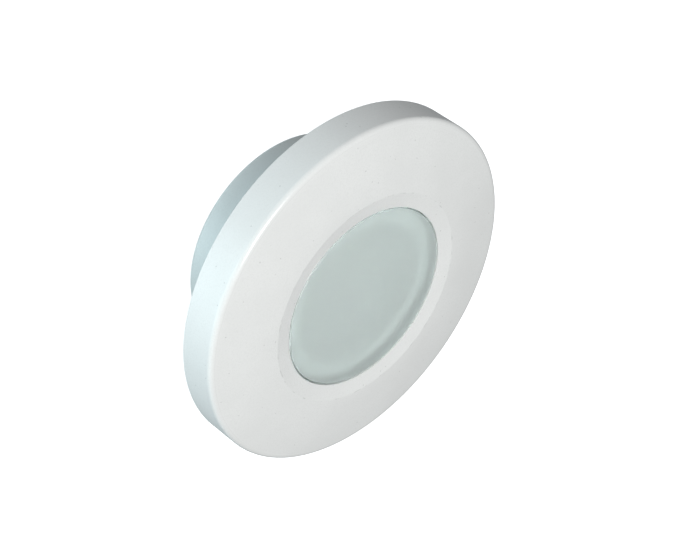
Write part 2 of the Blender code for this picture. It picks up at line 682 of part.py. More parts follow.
def make_reflector():
    """White bowl from just behind the glass down to the board of lamps."""
    lip_radius = SEAT_BORE - GAP
    front = WINDOW_BACK_Y + GAP
    back = LED_BOARD_Y - GAP
    bowl_radius = lip_radius - REFLECTOR_LIP
    steps = 4
    bowl = []
    for step in range(steps + 1):
        share = step / steps
        radius = bowl_radius + (REFLECTOR_MOUTH - bowl_radius) * share**REFLECTOR_CURVE
        bowl.append((radius, front + (back - front) * math.sin(share * math.pi / 2)))
    lip_back = front + REFLECTOR_WALL
    outside = [
        (REFLECTOR_MOUTH + 2 * REFLECTOR_WALL, back),
        (bowl_radius + REFLECTOR_WALL, (front + back) / 2),
        (bowl_radius + REFLECTOR_WALL, lip_back),
        (lip_radius, lip_back),
        (lip_radius, front),
    ]
    return turned("reflector", bowl + outside, "reflector_white")


def make_led_board():
    """Round board of lamps with three screw holes."""
    outline = tube_outline(0.0, LED_BOARD_RADIUS, LED_BOARD_Y, LED_BOARD_BACK_Y)
    board = turned("led_board", outline, "board_white")
    front, back = LED_BOARD_Y - PAST, LED_BOARD_BACK_Y + PAST
    return cut(board, rods_mesh("led_board_holes", board_screw_places(), M3_RADIUS + GAP, front, back))


def make_leds():
    """One lamp in the middle and a ring of lamps around it, each with its dome."""
    back = LED_BOARD_Y - GAP
    base_front = back - LED_BASE_THICK
    dome_steps = 2
    outline = [(0.0, back), (LED_RADIUS, back), (LED_RADIUS, base_front)]
    for step in range(dome_steps + 1):
        angle = math.pi / 2 * step / dome_steps
        outline.append((LED_DOME_RADIUS * math.cos(angle), base_front - LED_DOME_RADIUS * math.sin(angle)))
    outline[-1] = (0.0, base_front - LED_DOME_RADIUS)
    mesh = turned_mesh("led", outline, TINY_FACETS)
    places = [Vector((0, 0, 0))] + ring_places(LED_RING_RADIUS, LED_COUNT_IN_RING)
    copies("led", mesh, "led_phosphor", places)


def make_thermal_pad():
    """Soft pad between the board of lamps and the heat sink."""
    pad_back = THERMAL_PAD_Y + THERMAL_PAD_THICK
    outline = tube_outline(0.0, LED_BOARD_RADIUS, THERMAL_PAD_Y, pad_back)
    pad = turned("thermal_pad", outline, "thermal_grey")
    front, back = THERMAL_PAD_Y - PAST, pad_back + PAST
    return cut(pad, rods_mesh("thermal_pad_holes", board_screw_places(), M3_RADIUS + GAP, front, back))


def make_heat_sink():
    """Aluminium plate with ring fins behind it, drilled for its screws and the leads."""
    outline = [(0.0, HEAT_SINK_Y), (HEAT_SINK_RADIUS, HEAT_SINK_Y), (HEAT_SINK_RADIUS, HEAT_SINK_BACK_Y)]
    for radius in reversed(FIN_RADII):
        outline += [
            (radius, HEAT_SINK_BACK_Y),
            (radius, HEAT_SINK_BACK_Y + FIN_HEIGHT),
            (radius - FIN_THICK, HEAT_SINK_BACK_Y + FIN_HEIGHT),
            (radius - FIN_THICK, HEAT_SINK_BACK_Y),
        ]
    outline.append((0.0, HEAT_SINK_BACK_Y))
    sink = turned("heat_sink", outline, "aluminium")
    hole = M3_RADIUS + GAP
    through_front, through_back = HEAT_SINK_Y - PAST, HEAT_SINK_BACK_Y + PAST
    cut(sink, rods_mesh("sink_post_holes", post_places(), hole, through_front, through_back))
    board_depth = LED_BOARD_Y + BOARD_SCREW_LENGTH
    cut(sink, rods_mesh("sink_board_holes", board_screw_places(), hole, through_front, board_depth))
    driver_depth = HEAT_SINK_BACK_Y - DRIVER_SCREW_BITE - GAP
    cut(sink, rods_mesh("sink_driver_holes", driver_screw_places(), hole, driver_depth, through_back))
    places = lead_places()
    return cut(sink, rods_mesh("sink_lead_holes", places, LEAD_HOLE_RADIUS, through_front, through_back))


def pan_screw_outline(head_front, length):
    """Half section of an M3 pan head screw whose shank runs towards +Y."""
    under = head_front + M3_HEAD_THICK
    return [
        (0.0, head_front),
        (M3_HEAD_RADIUS * M3_HEAD_TOP_SHARE, head_front),
        (M3_HEAD_RADIUS, head_front + M3_HEAD_THICK / 2),
        (M3_HEAD_RADIUS, under),
        (M3_RADIUS, under),
        (M3_RADIUS, under + length),
        (0.0, under + length),
    ]


def make_light_engine_screws():
    """Screws of the board of lamps, and longer ones from the heat sink into the posts."""
    head_front = LED_BOARD_Y - GAP - M3_HEAD_THICK
    outline = pan_screw_outline(head_front, BOARD_SCREW_LENGTH)
    mesh = socket_screw_mesh("board_screw", outline, M3_SOCKET_RADIUS, head_front, M3_SOCKET_DEPTH)
    copies("board_screw", mesh, "stainless", board_screw_places())
    head_front = HEAT_SINK_Y - GAP - M3_HEAD_THICK
    outline = pan_screw_outline(head_front, POST_SCREW_LENGTH)
    mesh = socket_screw_mesh("heat_sink_screw", outline, M3_SOCKET_RADIUS, head_front, M3_SOCKET_DEPTH)
    copies("heat_sink_screw", mesh, "stainless", post_places())


def make_driver_board():
    """Round circuit board on spacers, with the screws that hold it to the heat sink."""
    outline = tube_outline(0.0, DRIVER_BOARD_RADIUS, DRIVER_BOARD_Y, DRIVER_BOARD_BACK_Y)
    board = turned("driver_board", outline, "board_green")
    places = driver_screw_places()
    front, back = DRIVER_BOARD_Y - PAST, DRIVER_BOARD_BACK_Y + PAST
    cut(board, rods_mesh("driver_board_holes", places, M3_RADIUS + GAP, front, back))
    spacer = tube_outline(M3_RADIUS + GAP, SPACER_RADIUS, SPACER_Y, SPACER_Y + SPACER_LENGTH)
    copies("driver_spacer", turned_mesh("driver_spacer", spacer, SIX_SIDES), "stainless", places)
    head_back = DRIVER_BOARD_BACK_Y + GAP + M3_HEAD_THICK
    length = head_back - M3_HEAD_THICK - (HEAT_SINK_BACK_Y - DRIVER_SCREW_BITE)
    outline = pan_screw_outline(-head_back, length)
    mesh = socket_screw_mesh("driver_screw", outline, M3_SOCKET_RADIUS, -head_back, M3_SOCKET_DEPTH)
    mesh.transform(Matrix.Rotation(math.pi, 4, "Z"))
    copies("driver_screw", mesh, "stainless", places)


def make_driver_parts():
    """Capacitor, wound inductor, rectifier and terminal block on the driver board."""
    seat = DRIVER_BOARD_BACK_Y + GAP
    groove_y = seat + CAPACITOR_GROOVE_Y
    end = seat + CAPACITOR_LENGTH
    outline = [
        (0.0, seat),
        (CAPACITOR_RADIUS, seat),
        (CAPACITOR_RADIUS, groove_y),
        (CAPACITOR_RADIUS - CAPACITOR_GROOVE_DEPTH, groove_y + CAPACITOR_GROOVE_DEPTH),
        (CAPACITOR_RADIUS, groove_y + 2 * CAPACITOR_GROOVE_DEPTH),
        (CAPACITOR_RADIUS, end - CAPACITOR_CHAMFER),
        (CAPACITOR_RADIUS - CAPACITOR_CHAMFER, end),
        (0.0, end),
    ]
    capacitor = turned("capacitor", outline, "black_plastic", SMALL_FACETS)
    capacitor.location = on_circle(PARTS_CIRCLE, CAPACITOR_DEGREES)
    middle = seat + INDUCTOR_WINDING_RADIUS
    reach = INDUCTOR_WINDING_RADIUS / math.cos(math.pi / WIRE_FACETS)
    ring = []
    for side in range(WIRE_FACETS):
        angle = math.tau * (side + 0.5) / WIRE_FACETS
        ring.append((INDUCTOR_RING_RADIUS + reach * math.cos(angle), middle + reach * math.sin(angle)))
    inductor = turned("inductor", ring, "copper", SMALL_FACETS)
    inductor.location = on_circle(PARTS_CIRCLE, INDUCTOR_DEGREES)
    make_block("rectifier", RECTIFIER_SIZE, RECTIFIER_DEGREES, "black_plastic")
    block, centre = make_block("terminal_block", TERMINAL_SIZE, TERMINAL_DEGREES, "green_plastic")
    along = on_circle(TERMINAL_SIZE[0] / 4, TERMINAL_DEGREES + 90)
    places = [centre + along, centre - along]
    top = seat + TERMINAL_SIZE[1]
    floor = top - TERMINAL_HOLE_DEPTH
    cut(block, rods_mesh("terminal_holes", places, TERMINAL_SCREW_RADIUS, floor, top + PAST))


def make_block(name, size, degrees, finish):
    """A (width, height, depth) box on the driver board, with its width along the board's edge."""
    width, height, depth = size
    centre = on_circle(PARTS_CIRCLE, degrees, DRIVER_BOARD_BACK_Y + GAP + height / 2)
    return add_object(name, box_mesh(name, (depth, height, width), centre, degrees), finish), centre


def lead_route(place):
    """Points of a lead past this place, from the board of lamps over its edge to the driver board."""
    pad_circle = LED_BOARD_RADIUS - 2 * LEAD_RADIUS
    landing_circle = DRIVER_BOARD_RADIUS - 2 * LEAD_RADIUS
    top = LED_BOARD_Y - GAP
    stations = [
        (pad_circle, top),
        (pad_circle + LEAD_RADIUS / 3, top - LEAD_RISE * 0.6),
        ((pad_circle + LEAD_CIRCLE) / 2, top - LEAD_RISE),
        (LEAD_CIRCLE - LEAD_RADIUS / 3, top - LEAD_RISE * 0.4),
        (LEAD_CIRCLE, HEAT_SINK_Y),
        (LEAD_CIRCLE, HEAT_SINK_BACK_Y),
        (landing_circle + 1.5 * LEAD_RADIUS, (HEAT_SINK_BACK_Y + DRIVER_BOARD_Y) / 2),
        (landing_circle, DRIVER_BOARD_Y - GAP),
    ]
    outwards = place.normalized()
    return [outwards * radius + Vector((0, y, 0)) for radius, y in stations]


def smooth_points(points, per_span):
    """Points read from a smooth curve through the given ones."""
    padded = [points[0]] + points + [points[-1]]
    found = []
    for before, start, end, after in zip(padded, padded[1:], padded[2:], padded[3:]):
        for step in range(per_span):
            t = step / per_span
            found.append(
                0.5
                * (
                    2 * start
                    + (end - before) * t
                    + (2 * before - 5 * start + 4 * end - after) * t**2
                    + (3 * start - before - 3 * end + after) * t**3
                )
            )
    return found + [points[-1]]


def make_leads():
    """Two insulated wires between the driver board and the board of lamps."""
    leads = (("led_lead_positive", "red_insulation"), ("led_lead_negative", "black_plastic"))
    for (name, finish), place in zip(leads, lead_places()):
        route = smooth_points(lead_route(place), 2)
        curve = bpy.data.curves.new(name, "CURVE")
        curve.dimensions = "3D"
        curve.bevel_depth = LEAD_RADIUS
        curve.bevel_resolution = 2
        curve.use_fill_caps = True
        spline = curve.splines.new("POLY")
        spline.points.add(len(route) - 1)
        for point, place in zip(spline.points, route):
            point.co = (*place, 1.0)
        lead = bpy.data.objects.new(name, curve)
        curve.materials.append(finish_of(finish))
        bpy.context.scene.collection.objects.link(lead)


def hexagon_mesh(name, radius, front, back):
    """A six-sided bar on the axis, to trim a turned blank to a hexagon."""
    return rods_mesh(name, [Vector((0, 0, 0))], radius, front, back, SIX_SIDES)


def make_gland_body():
    """Threaded gland: stub into the housing, hexagon, and the neck that takes the nut."""
    stub_end = GLAND_HEX_Y - GLAND_STUB_LENGTH
    outline = [
        (GLAND_CABLE_BORE, stub_end),
        (GLAND_THREAD_RADIUS, stub_end),
        (GLAND_THREAD_RADIUS, GLAND_HEX_Y),
        (GLAND_HEX_RADIUS, GLAND_HEX_Y),
        (GLAND_HEX_RADIUS, GLAND_HEX_END_Y),
        (GLAND_NECK_RADIUS, GLAND_HEX_END_Y),
        (GLAND_NECK_RADIUS, GLAND_NECK_END_Y),
        (GLAND_SEAL_BORE, GLAND_NECK_END_Y),
        (GLAND_SEAL_BORE, GLAND_SEAL_SEAT_Y),
        (GLAND_CABLE_BORE, GLAND_SEAL_SEAT_Y),
    ]
    body = turned("gland_body", outline, "white_plastic", SMALL_FACETS)
    hexagon = hexagon_mesh("gland_hexagon", GLAND_HEX_RADIUS, stub_end - PAST, GLAND_NECK_END_Y + PAST)
    return shape_with(body, hexagon, "INTERSECT")


def make_gland_washer():
    """Rubber washer between the gland's hexagon and the floor of the well."""
    inside = GLAND_THREAD_RADIUS + GAP
    back = GLAND_WASHER_Y + GLAND_WASHER_THICK
    outline = tube_outline(inside, inside + GLAND_WASHER_WIDTH, GLAND_WASHER_Y, back)
    return turned("gland_washer", outline, "grey_rubber", SMALL_FACETS)


def make_gland_seal():
    """Rubber sleeve that the nut squeezes on to the cable."""
    front = GLAND_SEAL_SEAT_Y + GAP
    back = front + GLAND_SEAL_LENGTH
    chamfer = GLAND_SEAL_CHAMFER
    outline = [
        (GLAND_CABLE_BORE, front),
        (GLAND_SEAL_RADIUS, front),
        (GLAND_SEAL_RADIUS, back - 2 * chamfer),
        (GLAND_SEAL_RADIUS - chamfer, back),
        (GLAND_CABLE_BORE, back),
    ]
    return turned("gland_seal", outline, "grey_rubber", SMALL_FACETS)


def make_gland_clamp():
    """Ring of fingers, pressed along by the nut, that close around the seal."""
    front = GLAND_NECK_END_Y + GAP
    back = front + GLAND_CLAMP_LENGTH
    inside = GLAND_SEAL_BORE
    outside = inside + GLAND_CLAMP_WALL
    outline = [
        (inside, front),
        (outside, front),
        (outside, front + GLAND_CLAMP_ROOT),
        (outside - GLAND_CLAMP_TAPER, back),
        (inside, back),
    ]
    clamp = turned("gland_clamp", outline, "white_plastic", SMALL_FACETS)
    slots = bmesh.new()
    for finger in range(GLAND_CLAMP_FINGERS):
        degrees = 360 * (finger + 0.5) / GLAND_CLAMP_FINGERS
        centre = on_circle(outside, degrees, back)
        turn = Matrix.Rotation(math.radians(-degrees), 4, "Y")
        size = Matrix.Diagonal((4 * GLAND_CLAMP_WALL, GLAND_CLAMP_LENGTH, GLAND_CLAMP_SLOT, 1.0))
        bmesh.ops.create_cube(slots, size=1.0, matrix=Matrix.Translation(centre) @ turn @ size)
    return cut(clamp, mesh_from(slots, "clamp_slots"))


def make_gland_nut():
    """Six-sided nut with a domed end and the cable's mouth in it."""
    thread_bore = GLAND_NECK_RADIUS + GAP
    mouth = GLAND_CABLE_BORE + GLAND_MOUTH_CLEARANCE
    end_floor = GLAND_NUT_END_Y - GLAND_NUT_END_WALL
    clamp_bore = GLAND_SEAL_BORE + GLAND_CLAMP_WALL + GAP
    outline = [
        (thread_bore, GLAND_NUT_Y),
        (GLAND_NUT_RADIUS, GLAND_NUT_Y),
        (GLAND_NUT_RADIUS, GLAND_NUT_END_Y - 2 * GLAND_NUT_CHAMFER),
        (GLAND_NUT_RADIUS - GLAND_NUT_CHAMFER / 2, GLAND_NUT_END_Y - GLAND_NUT_CHAMFER),
        (GLAND_NUT_RADIUS - 2 * GLAND_NUT_CHAMFER, GLAND_NUT_END_Y),
        (mouth, GLAND_NUT_END_Y),
        (mouth, end_floor),
        (clamp_bore, end_floor - GLAND_NUT_SEAT),
        (thread_bore, GLAND_NECK_END_Y),
    ]
    nut = turned("gland_nut", outline, "white_plastic", SMALL_FACETS)
    hexagon = hexagon_mesh("nut_hexagon", GLAND_NUT_RADIUS, GLAND_NUT_Y - PAST, GLAND_NUT_END_Y + PAST)
    return shape_with(nut, hexagon, "INTERSECT")


def main():
    """Builds every piece of the lamp."""
    clear_scene()
    make_trim_ring()
    make_window()
    make_window_seals()
    make_clamp_ring()
    make_clamp_screws()
    make_housing()
    make_wall_gasket()
    make_grip_ring()
    make_reflector()
    make_led_board()
    make_leds()
    make_thermal_pad()
    make_heat_sink()
    make_light_engine_screws()
    make_driver_board()
    make_driver_parts()
    make_leads()
    make_gland_body()
    make_gland_washer()
    make_gland_seal()
    make_gland_clamp()
    make_gland_nut()


main()
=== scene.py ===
"""Underwater pool light: a push-on white trim ring around a frosted window, on a sealed drum.

The lamp's axis is the Y axis, it shines along -Y, and +Z is up. Sizes are in metres.
"""

import json
import logging
import math
from dataclasses import dataclass, field
from enum import Enum
from typing import Iterable, Sequence, Union

import bmesh
import bpy
from mathutils import Matrix, Vector


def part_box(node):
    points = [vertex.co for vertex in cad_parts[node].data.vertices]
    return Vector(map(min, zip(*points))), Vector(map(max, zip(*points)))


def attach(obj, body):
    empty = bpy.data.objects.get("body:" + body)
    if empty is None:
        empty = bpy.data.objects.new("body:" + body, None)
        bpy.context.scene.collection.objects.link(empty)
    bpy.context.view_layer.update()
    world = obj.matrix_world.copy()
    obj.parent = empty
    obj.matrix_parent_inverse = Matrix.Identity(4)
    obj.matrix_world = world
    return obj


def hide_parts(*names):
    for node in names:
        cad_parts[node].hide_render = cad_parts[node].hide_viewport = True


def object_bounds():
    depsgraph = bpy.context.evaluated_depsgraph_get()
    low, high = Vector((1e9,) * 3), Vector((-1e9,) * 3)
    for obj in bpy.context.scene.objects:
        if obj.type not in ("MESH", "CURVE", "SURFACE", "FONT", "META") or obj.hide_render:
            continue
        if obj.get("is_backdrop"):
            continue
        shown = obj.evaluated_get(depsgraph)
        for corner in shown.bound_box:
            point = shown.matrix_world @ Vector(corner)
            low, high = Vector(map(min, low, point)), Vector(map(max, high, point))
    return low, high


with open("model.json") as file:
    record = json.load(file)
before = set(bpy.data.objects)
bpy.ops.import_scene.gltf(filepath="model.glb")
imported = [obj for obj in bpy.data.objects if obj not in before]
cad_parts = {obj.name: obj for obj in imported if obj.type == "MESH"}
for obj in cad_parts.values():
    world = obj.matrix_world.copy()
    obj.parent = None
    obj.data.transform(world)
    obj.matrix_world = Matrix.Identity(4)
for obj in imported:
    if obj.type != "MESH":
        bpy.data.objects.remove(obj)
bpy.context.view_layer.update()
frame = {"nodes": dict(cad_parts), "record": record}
LOG = logging.getLogger("pool_light")

Corner = tuple[float, float, float]
Colour = tuple[float, float, float]


class Body(Enum):
    """The bodies of the lamp that pieces ride on."""

    HOUSING = "housing"
    TRIM = "trim"
    PUSHER = "gland_pusher"
    NUT = "nut"


class Cut(Enum):
    """What a helper mesh does to the piece it meets."""

    REMOVE = "DIFFERENCE"
    ADD = "UNION"
    KEEP_INSIDE = "INTERSECT"


# ---------------------------------------------------------------- node trees


class Socket:
    """An output of a node that can be used in Python arithmetic."""

    def __init__(self, tree: "Tree", link: bpy.types.NodeSocket) -> None:
        """Wraps one output socket of a tree's node."""
        self.tree = tree
        self.link = link

    def other(self, name: str) -> "Socket":
        """Another output of the same node."""
        return Socket(self.tree, self.link.node.outputs[name])

    def __add__(self, other: "Number") -> "Socket":
        """self + other."""
        return self.tree.math("ADD", self, other)

    def __radd__(self, other: "Number") -> "Socket":
        """other + self."""
        return self.tree.math("ADD", other, self)

    def __sub__(self, other: "Number") -> "Socket":
        """self - other."""
        return self.tree.math("SUBTRACT", self, other)

    def __rsub__(self, other: "Number") -> "Socket":
        """other - self."""
        return self.tree.math("SUBTRACT", other, self)

    def __mul__(self, other: "Number") -> "Socket":
        """self * other."""
        return self.tree.math("MULTIPLY", self, other)

    def __rmul__(self, other: "Number") -> "Socket":
        """other * self."""
        return self.tree.math("MULTIPLY", other, self)

    def __truediv__(self, other: "Number") -> "Socket":
        """self / other."""
        return self.tree.math("DIVIDE", self, other)

    def __gt__(self, other: "Number") -> "Socket":
        """1 where self is greater than other, else 0."""
        return self.tree.math("GREATER_THAN", self, other)

    def __lt__(self, other: "Number") -> "Socket":
        """1 where self is less than other, else 0."""
        return self.tree.math("LESS_THAN", self, other)


Number = Union[Socket, float, int]
Value = Union[Socket, float, int, bool, str, Sequence[float], bpy.types.ID]


class Tree:
    """Adds nodes to a shader tree or to a geometry tree."""

    def __init__(self, nodes: bpy.types.NodeTree) -> None:
        """Starts from an empty tree."""
        self.nodes = nodes.nodes
        self.links = nodes.links
        self.nodes.clear()

    def node(
        self,
        kind: str,
        settings: dict[str, object] | None = None,
        sockets: dict[str | int, Value] | None = None,
        output: str | int = 0,
    ) -> Socket:
        """Adds one node.

        Args:
            kind: The node's type.
            settings: Its properties, set first. "stops" gives a ramp's (place, colour) pairs.
            sockets: A value or a link for each input, by name or by number.
            output: Which output to return.

        Returns:
            The chosen output.
        """
        made = self.nodes.new(kind)
        for name, value in (settings or {}).items():
            if name == "stops":
                self._set_stops(made, value)
            else:
                setattr(made, name, value)
        for name, value in (sockets or {}).items():
            if isinstance(value, Socket):
                self.links.new(value.link, made.inputs[name])
            else:
                made.inputs[name].default_value = value
        if not made.outputs:
            return Socket(self, made.inputs[0])
        return Socket(self, made.outputs[output])

    @staticmethod
    def _set_stops(ramp: bpy.types.Node, stops: Sequence[tuple[float, Colour]]) -> None:
        """Gives a colour ramp its stops."""
        elements = ramp.color_ramp.elements
        while len(elements) < len(stops):
            elements.new(1.0)
        for element, (place, colour) in zip(elements, stops):
            element.position = place
            element.color = (*colour, 1.0)

    def math(self, operation: str, *values: Number) -> Socket:
        """Adds one Math node with that operation on these values."""
        return self.node("ShaderNodeMath", {"operation": operation}, dict(enumerate(values)))


class Shader(Tree):
    """The node tree of one material."""

    def __init__(self, name: str) -> None:
        """Makes the material and its empty tree."""
        self.material = bpy.data.materials.new(name)
        self.material.use_nodes = True
        super().__init__(self.material.node_tree)
        self.place = self.node("ShaderNodeTexCoord", output="Object")

    def across(self) -> tuple[Socket, Socket, Socket]:
        """The point's X, Y and Z in the lamp's frame."""
        parts = self.node("ShaderNodeSeparateXYZ", None, {0: self.place})
        return parts, parts.other("Y"), parts.other("Z")

    def radius(self) -> Socket:
        """The point's distance from the lamp's axis."""
        x, _, z = self.across()
        return self.math("SQRT", x * x + z * z)

    def noise(self, scale: float, detail: float = 2.0, vector: Socket | None = None) -> Socket:
        """A noise of that many waves to the metre, from 0 to 1."""
        sockets = {"Vector": vector or self.place, "Scale": scale, "Detail": detail}
        return self.node("ShaderNodeTexNoise", None, sockets)

    def cells(self, scale: float, feature: str = "F1") -> Socket:
        """The distance to the nearest cell's middle or edge, with that many cells to the metre."""
        sockets = {"Vector": self.place, "Scale": scale}
        return self.node("ShaderNodeTexVoronoi", {"feature": feature}, sockets)

    def spread(self, value: Socket, low: float, high: float) -> Socket:
        """Takes low to 0 and high to 1 with a smooth step."""
        settings = {"interpolation_type": "SMOOTHSTEP", "clamp": True}
        return self.node("ShaderNodeMapRange", settings, {0: value, 1: low, 2: high})

    def blend(self, factor: Number, first: Colour | Socket, second: Colour | Socket) -> Socket:
        """Mixes two colours."""
        sockets: dict[str | int, Value] = {0: factor}
        for number, colour in ((6, first), (7, second)):
            sockets[number] = colour if isinstance(colour, Socket) else (*colour, 1.0)
        return self.node("ShaderNodeMix", {"data_type": "RGBA"}, sockets, output=2)

    def ring_place(self, stretch: float) -> Socket:
        """Coordinates that run around a turned piece: radius, angle times stretch, and Y."""
        x, y, z = self.across()
        angle = self.math("ARCTAN2", z, x)
        sockets = {0: self.radius(), 1: angle * stretch, 2: y}
        return self.node("ShaderNodeCombineXYZ", None, sockets)

    def bump(self, height: Socket, depth: float) -> Socket:
        """A normal that is bent by a height from 0 to 1, which is that deep."""
        return self.node("ShaderNodeBump", None, {"Height": height, "Distance": depth})

    def surface(self, sockets: dict[str | int, Value]) -> bpy.types.Material:
        """Finishes the material with one Principled shader."""
        shader = self.node("ShaderNodeBsdfPrincipled", None, sockets)
        self.node("ShaderNodeOutputMaterial", None, {"Surface": shader})
        return self.material


# ------------------------------------------------------------------ finishes


def shaded(colour: Colour, factor: float, lift: float = 0.0, limit: float = 1.0) -> Colour:
    """A colour times a factor plus a lift, with no part over the limit."""
    return tuple(min(limit, part * factor + lift) for part in colour)


@dataclass(frozen=True)
class MouldedPlastic:
    """Moulded plastic with a fine grain, and a few dark specks in it.

    Attributes:
        name: The material's name.
        colour: The plastic's own colour.
        grain: Waves of the grain to the metre.
        grain_depth: How deep the grain is.
        rough: The roughness between the grain's bumps.
        specks: How dark the specks are, from 0 to 1.
        darkened_radius: A radius along which the colour is darker in broken patches, or 0 for none.
        gloss: The (radius, y) of a front edge beyond which the surface is smoother, or None.
        speck_size: How far a speck reaches from its middle.
        speck_cells: Cells to the metre, each with at most one speck.
        crease_width: How far the darkening spreads from its crease.
    """

    name: str
    colour: Colour
    grain: float = 1500.0
    grain_depth: float = 0.00004
    rough: float = 0.42
    specks: float = 0.0
    darkened_radius: float = 0.0
    gloss: tuple[float, float] | None = None
    speck_size: float = 0.00036
    speck_cells: float = 200.0
    crease_width: float = 0.00035

    def make(self) -> bpy.types.Material:
        """Builds the material."""
        shader = Shader(self.name)
        grain = shader.noise(self.grain, 3.0)
        clouds = shader.noise(45.0, 2.0)
        shade = shaded(self.colour, 0.93)
        colour = shader.blend(shader.spread(clouds, 0.3, 0.7) * 0.5, self.colour, shade)
        colour = shader.blend(shader.spread(grain, 0.42, 0.68) * 0.6, colour, shade)
        if self.specks:
            reach = self.speck_size * self.speck_cells
            spot = 1 - shader.spread(shader.cells(self.speck_cells), reach * 0.6, reach)
            colour = shader.blend(spot * self.specks, colour, shaded(self.colour, 0.25))
        # The colour is darker in broken patches along the crease at this radius.
        if self.darkened_radius:
            away = shader.math("ABSOLUTE", shader.radius() - self.darkened_radius)
            crease = 1 - shader.spread(away, 0.0, self.crease_width)
            patches = shader.spread(shader.noise(260.0, 4.0), 0.5, 0.66)
            colour = shader.blend(crease * patches * 0.45, colour, shaded(self.colour, 0.45))
        roughness = grain * 0.16 + (self.rough - 0.08)
        coarse = 1.0
        if self.gloss:
            radius, y = self.gloss
            outer = shader.spread(shader.radius(), radius - 0.001, radius + 0.001)
            _, along, _ = shader.across()
            edge = outer * (1 - shader.spread(along, y, y + 0.002))
            roughness = roughness - edge * 0.22
            coarse = 1 - outer * 0.75
        return shader.surface(
            {
                "Base Color": colour,
                "Roughness": roughness,
                "IOR": 1.5,
                "Normal": shader.bump(grain * coarse, self.grain_depth),
            }
        )


@dataclass(frozen=True)
class FrostedGlass:
    """Faintly green glass with an etched front.

    Attributes:
        name: The material's name.
        etched_to: The place along Y where the etched front ends.
        colour: The colour of light that the surface lets in.
        tint: The colour of the glass in depth.
        density: How strongly it is tinted.
        clarity: The share of light that goes in.
        polished: The roughness of the back and the edge.
        etched: The roughness of the front.
    """

    name: str
    etched_to: float
    colour: Colour = (0.865, 0.925, 0.912)
    tint: Colour = (0.66, 0.84, 0.82)
    density: float = 10.0
    clarity: float = 0.7
    polished: float = 0.05
    etched: float = 0.6

    def make(self) -> bpy.types.Material:
        """Builds the material."""
        shader = Shader(self.name)
        _, y, _ = shader.across()
        front = y < self.etched_to
        smears = shader.spread(shader.noise(60.0, 3.0), 0.45, 0.75)
        etch = shader.noise(2600.0, 2.0)
        roughness = front * (self.etched - self.polished) + (self.polished + smears * 0.05)
        glass = shader.node(
            "ShaderNodeBsdfPrincipled",
            None,
            {
                "Base Color": (*self.colour, 1.0),
                "Roughness": roughness,
                "IOR": 1.52,
                "Transmission Weight": self.clarity,
                "Normal": shader.bump(etch * front, 0.00002),
            },
        )
        inside = {"Color": (*self.tint, 1.0), "Density": self.density}
        body = shader.node("ShaderNodeVolumeAbsorption", None, inside)
        shader.node("ShaderNodeOutputMaterial", None, {"Surface": glass, "Volume": body})
        return shader.material


@dataclass(frozen=True)
class SoftRubber:
    """Matte rubber or silicone with a fine bloom."""

    name: str
    colour: Colour
    rough: float = 0.7

    def make(self) -> bpy.types.Material:
        """Builds the material."""
        shader = Shader(self.name)
        grain = shader.noise(2200.0, 3.0)
        bloom = shader.spread(shader.noise(120.0, 4.0), 0.4, 0.75)
        lighter = shaded(self.colour, 1.25, 0.02)
        return shader.surface(
            {
                "Base Color": shader.blend(bloom, self.colour, lighter),
                "Roughness": bloom * 0.1 + self.rough,
                "Normal": shader.bump(grain, 0.00003),
            }
        )


@dataclass(frozen=True)
class TurnedMetal:
    """Metal with fine marks that run around the lamp's axis."""

    name: str
    colour: Colour
    rough: float = 0.28
    mark_depth: float = 0.000008

    def make(self) -> bpy.types.Material:
        """Builds the material."""
        shader = Shader(self.name)
        marks = shader.noise(5200.0, 3.0, shader.ring_place(0.0004))
        stains = shader.spread(shader.noise(90.0, 3.0), 0.45, 0.8)
        darker = shaded(self.colour, 0.8)
        return shader.surface(
            {
                "Base Color": shader.blend(stains * 0.6, self.colour, darker),
                "Metallic": 1.0,
                "Roughness": marks * 0.16 + (self.rough - 0.05),
                "Normal": shader.bump(marks, self.mark_depth),
            }
        )


@dataclass(frozen=True)
class CircuitBoard:
    """A coated board with copper tracks showing through the coating.

    Attributes:
        name: The material's name.
        coat: The coating's colour.
        track: The colour where a track runs under it.
        pitch: Tracks to the metre.
    """

    name: str
    coat: Colour
    track: Colour
    pitch: float = 210.0

    def make(self) -> bpy.types.Material:
        """Builds the material."""
        shader = Shader(self.name)
        tracks = 1 - shader.spread(shader.cells(self.pitch, "DISTANCE_TO_EDGE"), 0.05, 0.09)
        weave = shader.noise(1800.0, 1.0)
        colour = shader.blend(tracks * 0.8, self.coat, self.track)
        return shader.surface(
            {
                "Base Color": shader.blend(shader.spread(weave, 0.4, 0.8) * 0.15, colour, self.track),
                "Roughness": weave * 0.1 + 0.28,
                "Normal": shader.bump(tracks, 0.00003),
            }
        )


@dataclass(frozen=True)
class PlainMoulding:
    """Glossy or matte plastic of small parts, with moulding marks."""

    name: str
    colour: Colour
    rough: float = 0.4
    metallic: float = 0.0

    def make(self) -> bpy.types.Material:
        """Builds the material."""
        shader = Shader(self.name)
        grain = shader.noise(2400.0, 2.0)
        flow = shader.spread(shader.noise(150.0, 3.0), 0.35, 0.75)
        lighter = shaded(self.colour, 1.12, 0.01, 0.96)
        return shader.surface(
            {
                "Base Color": shader.blend(flow, self.colour, lighter),
                "Metallic": self.metallic,
                "Roughness": grain * 0.12 + (self.rough - 0.06),
                "Normal": shader.bump(grain, 0.000015),
            }
        )


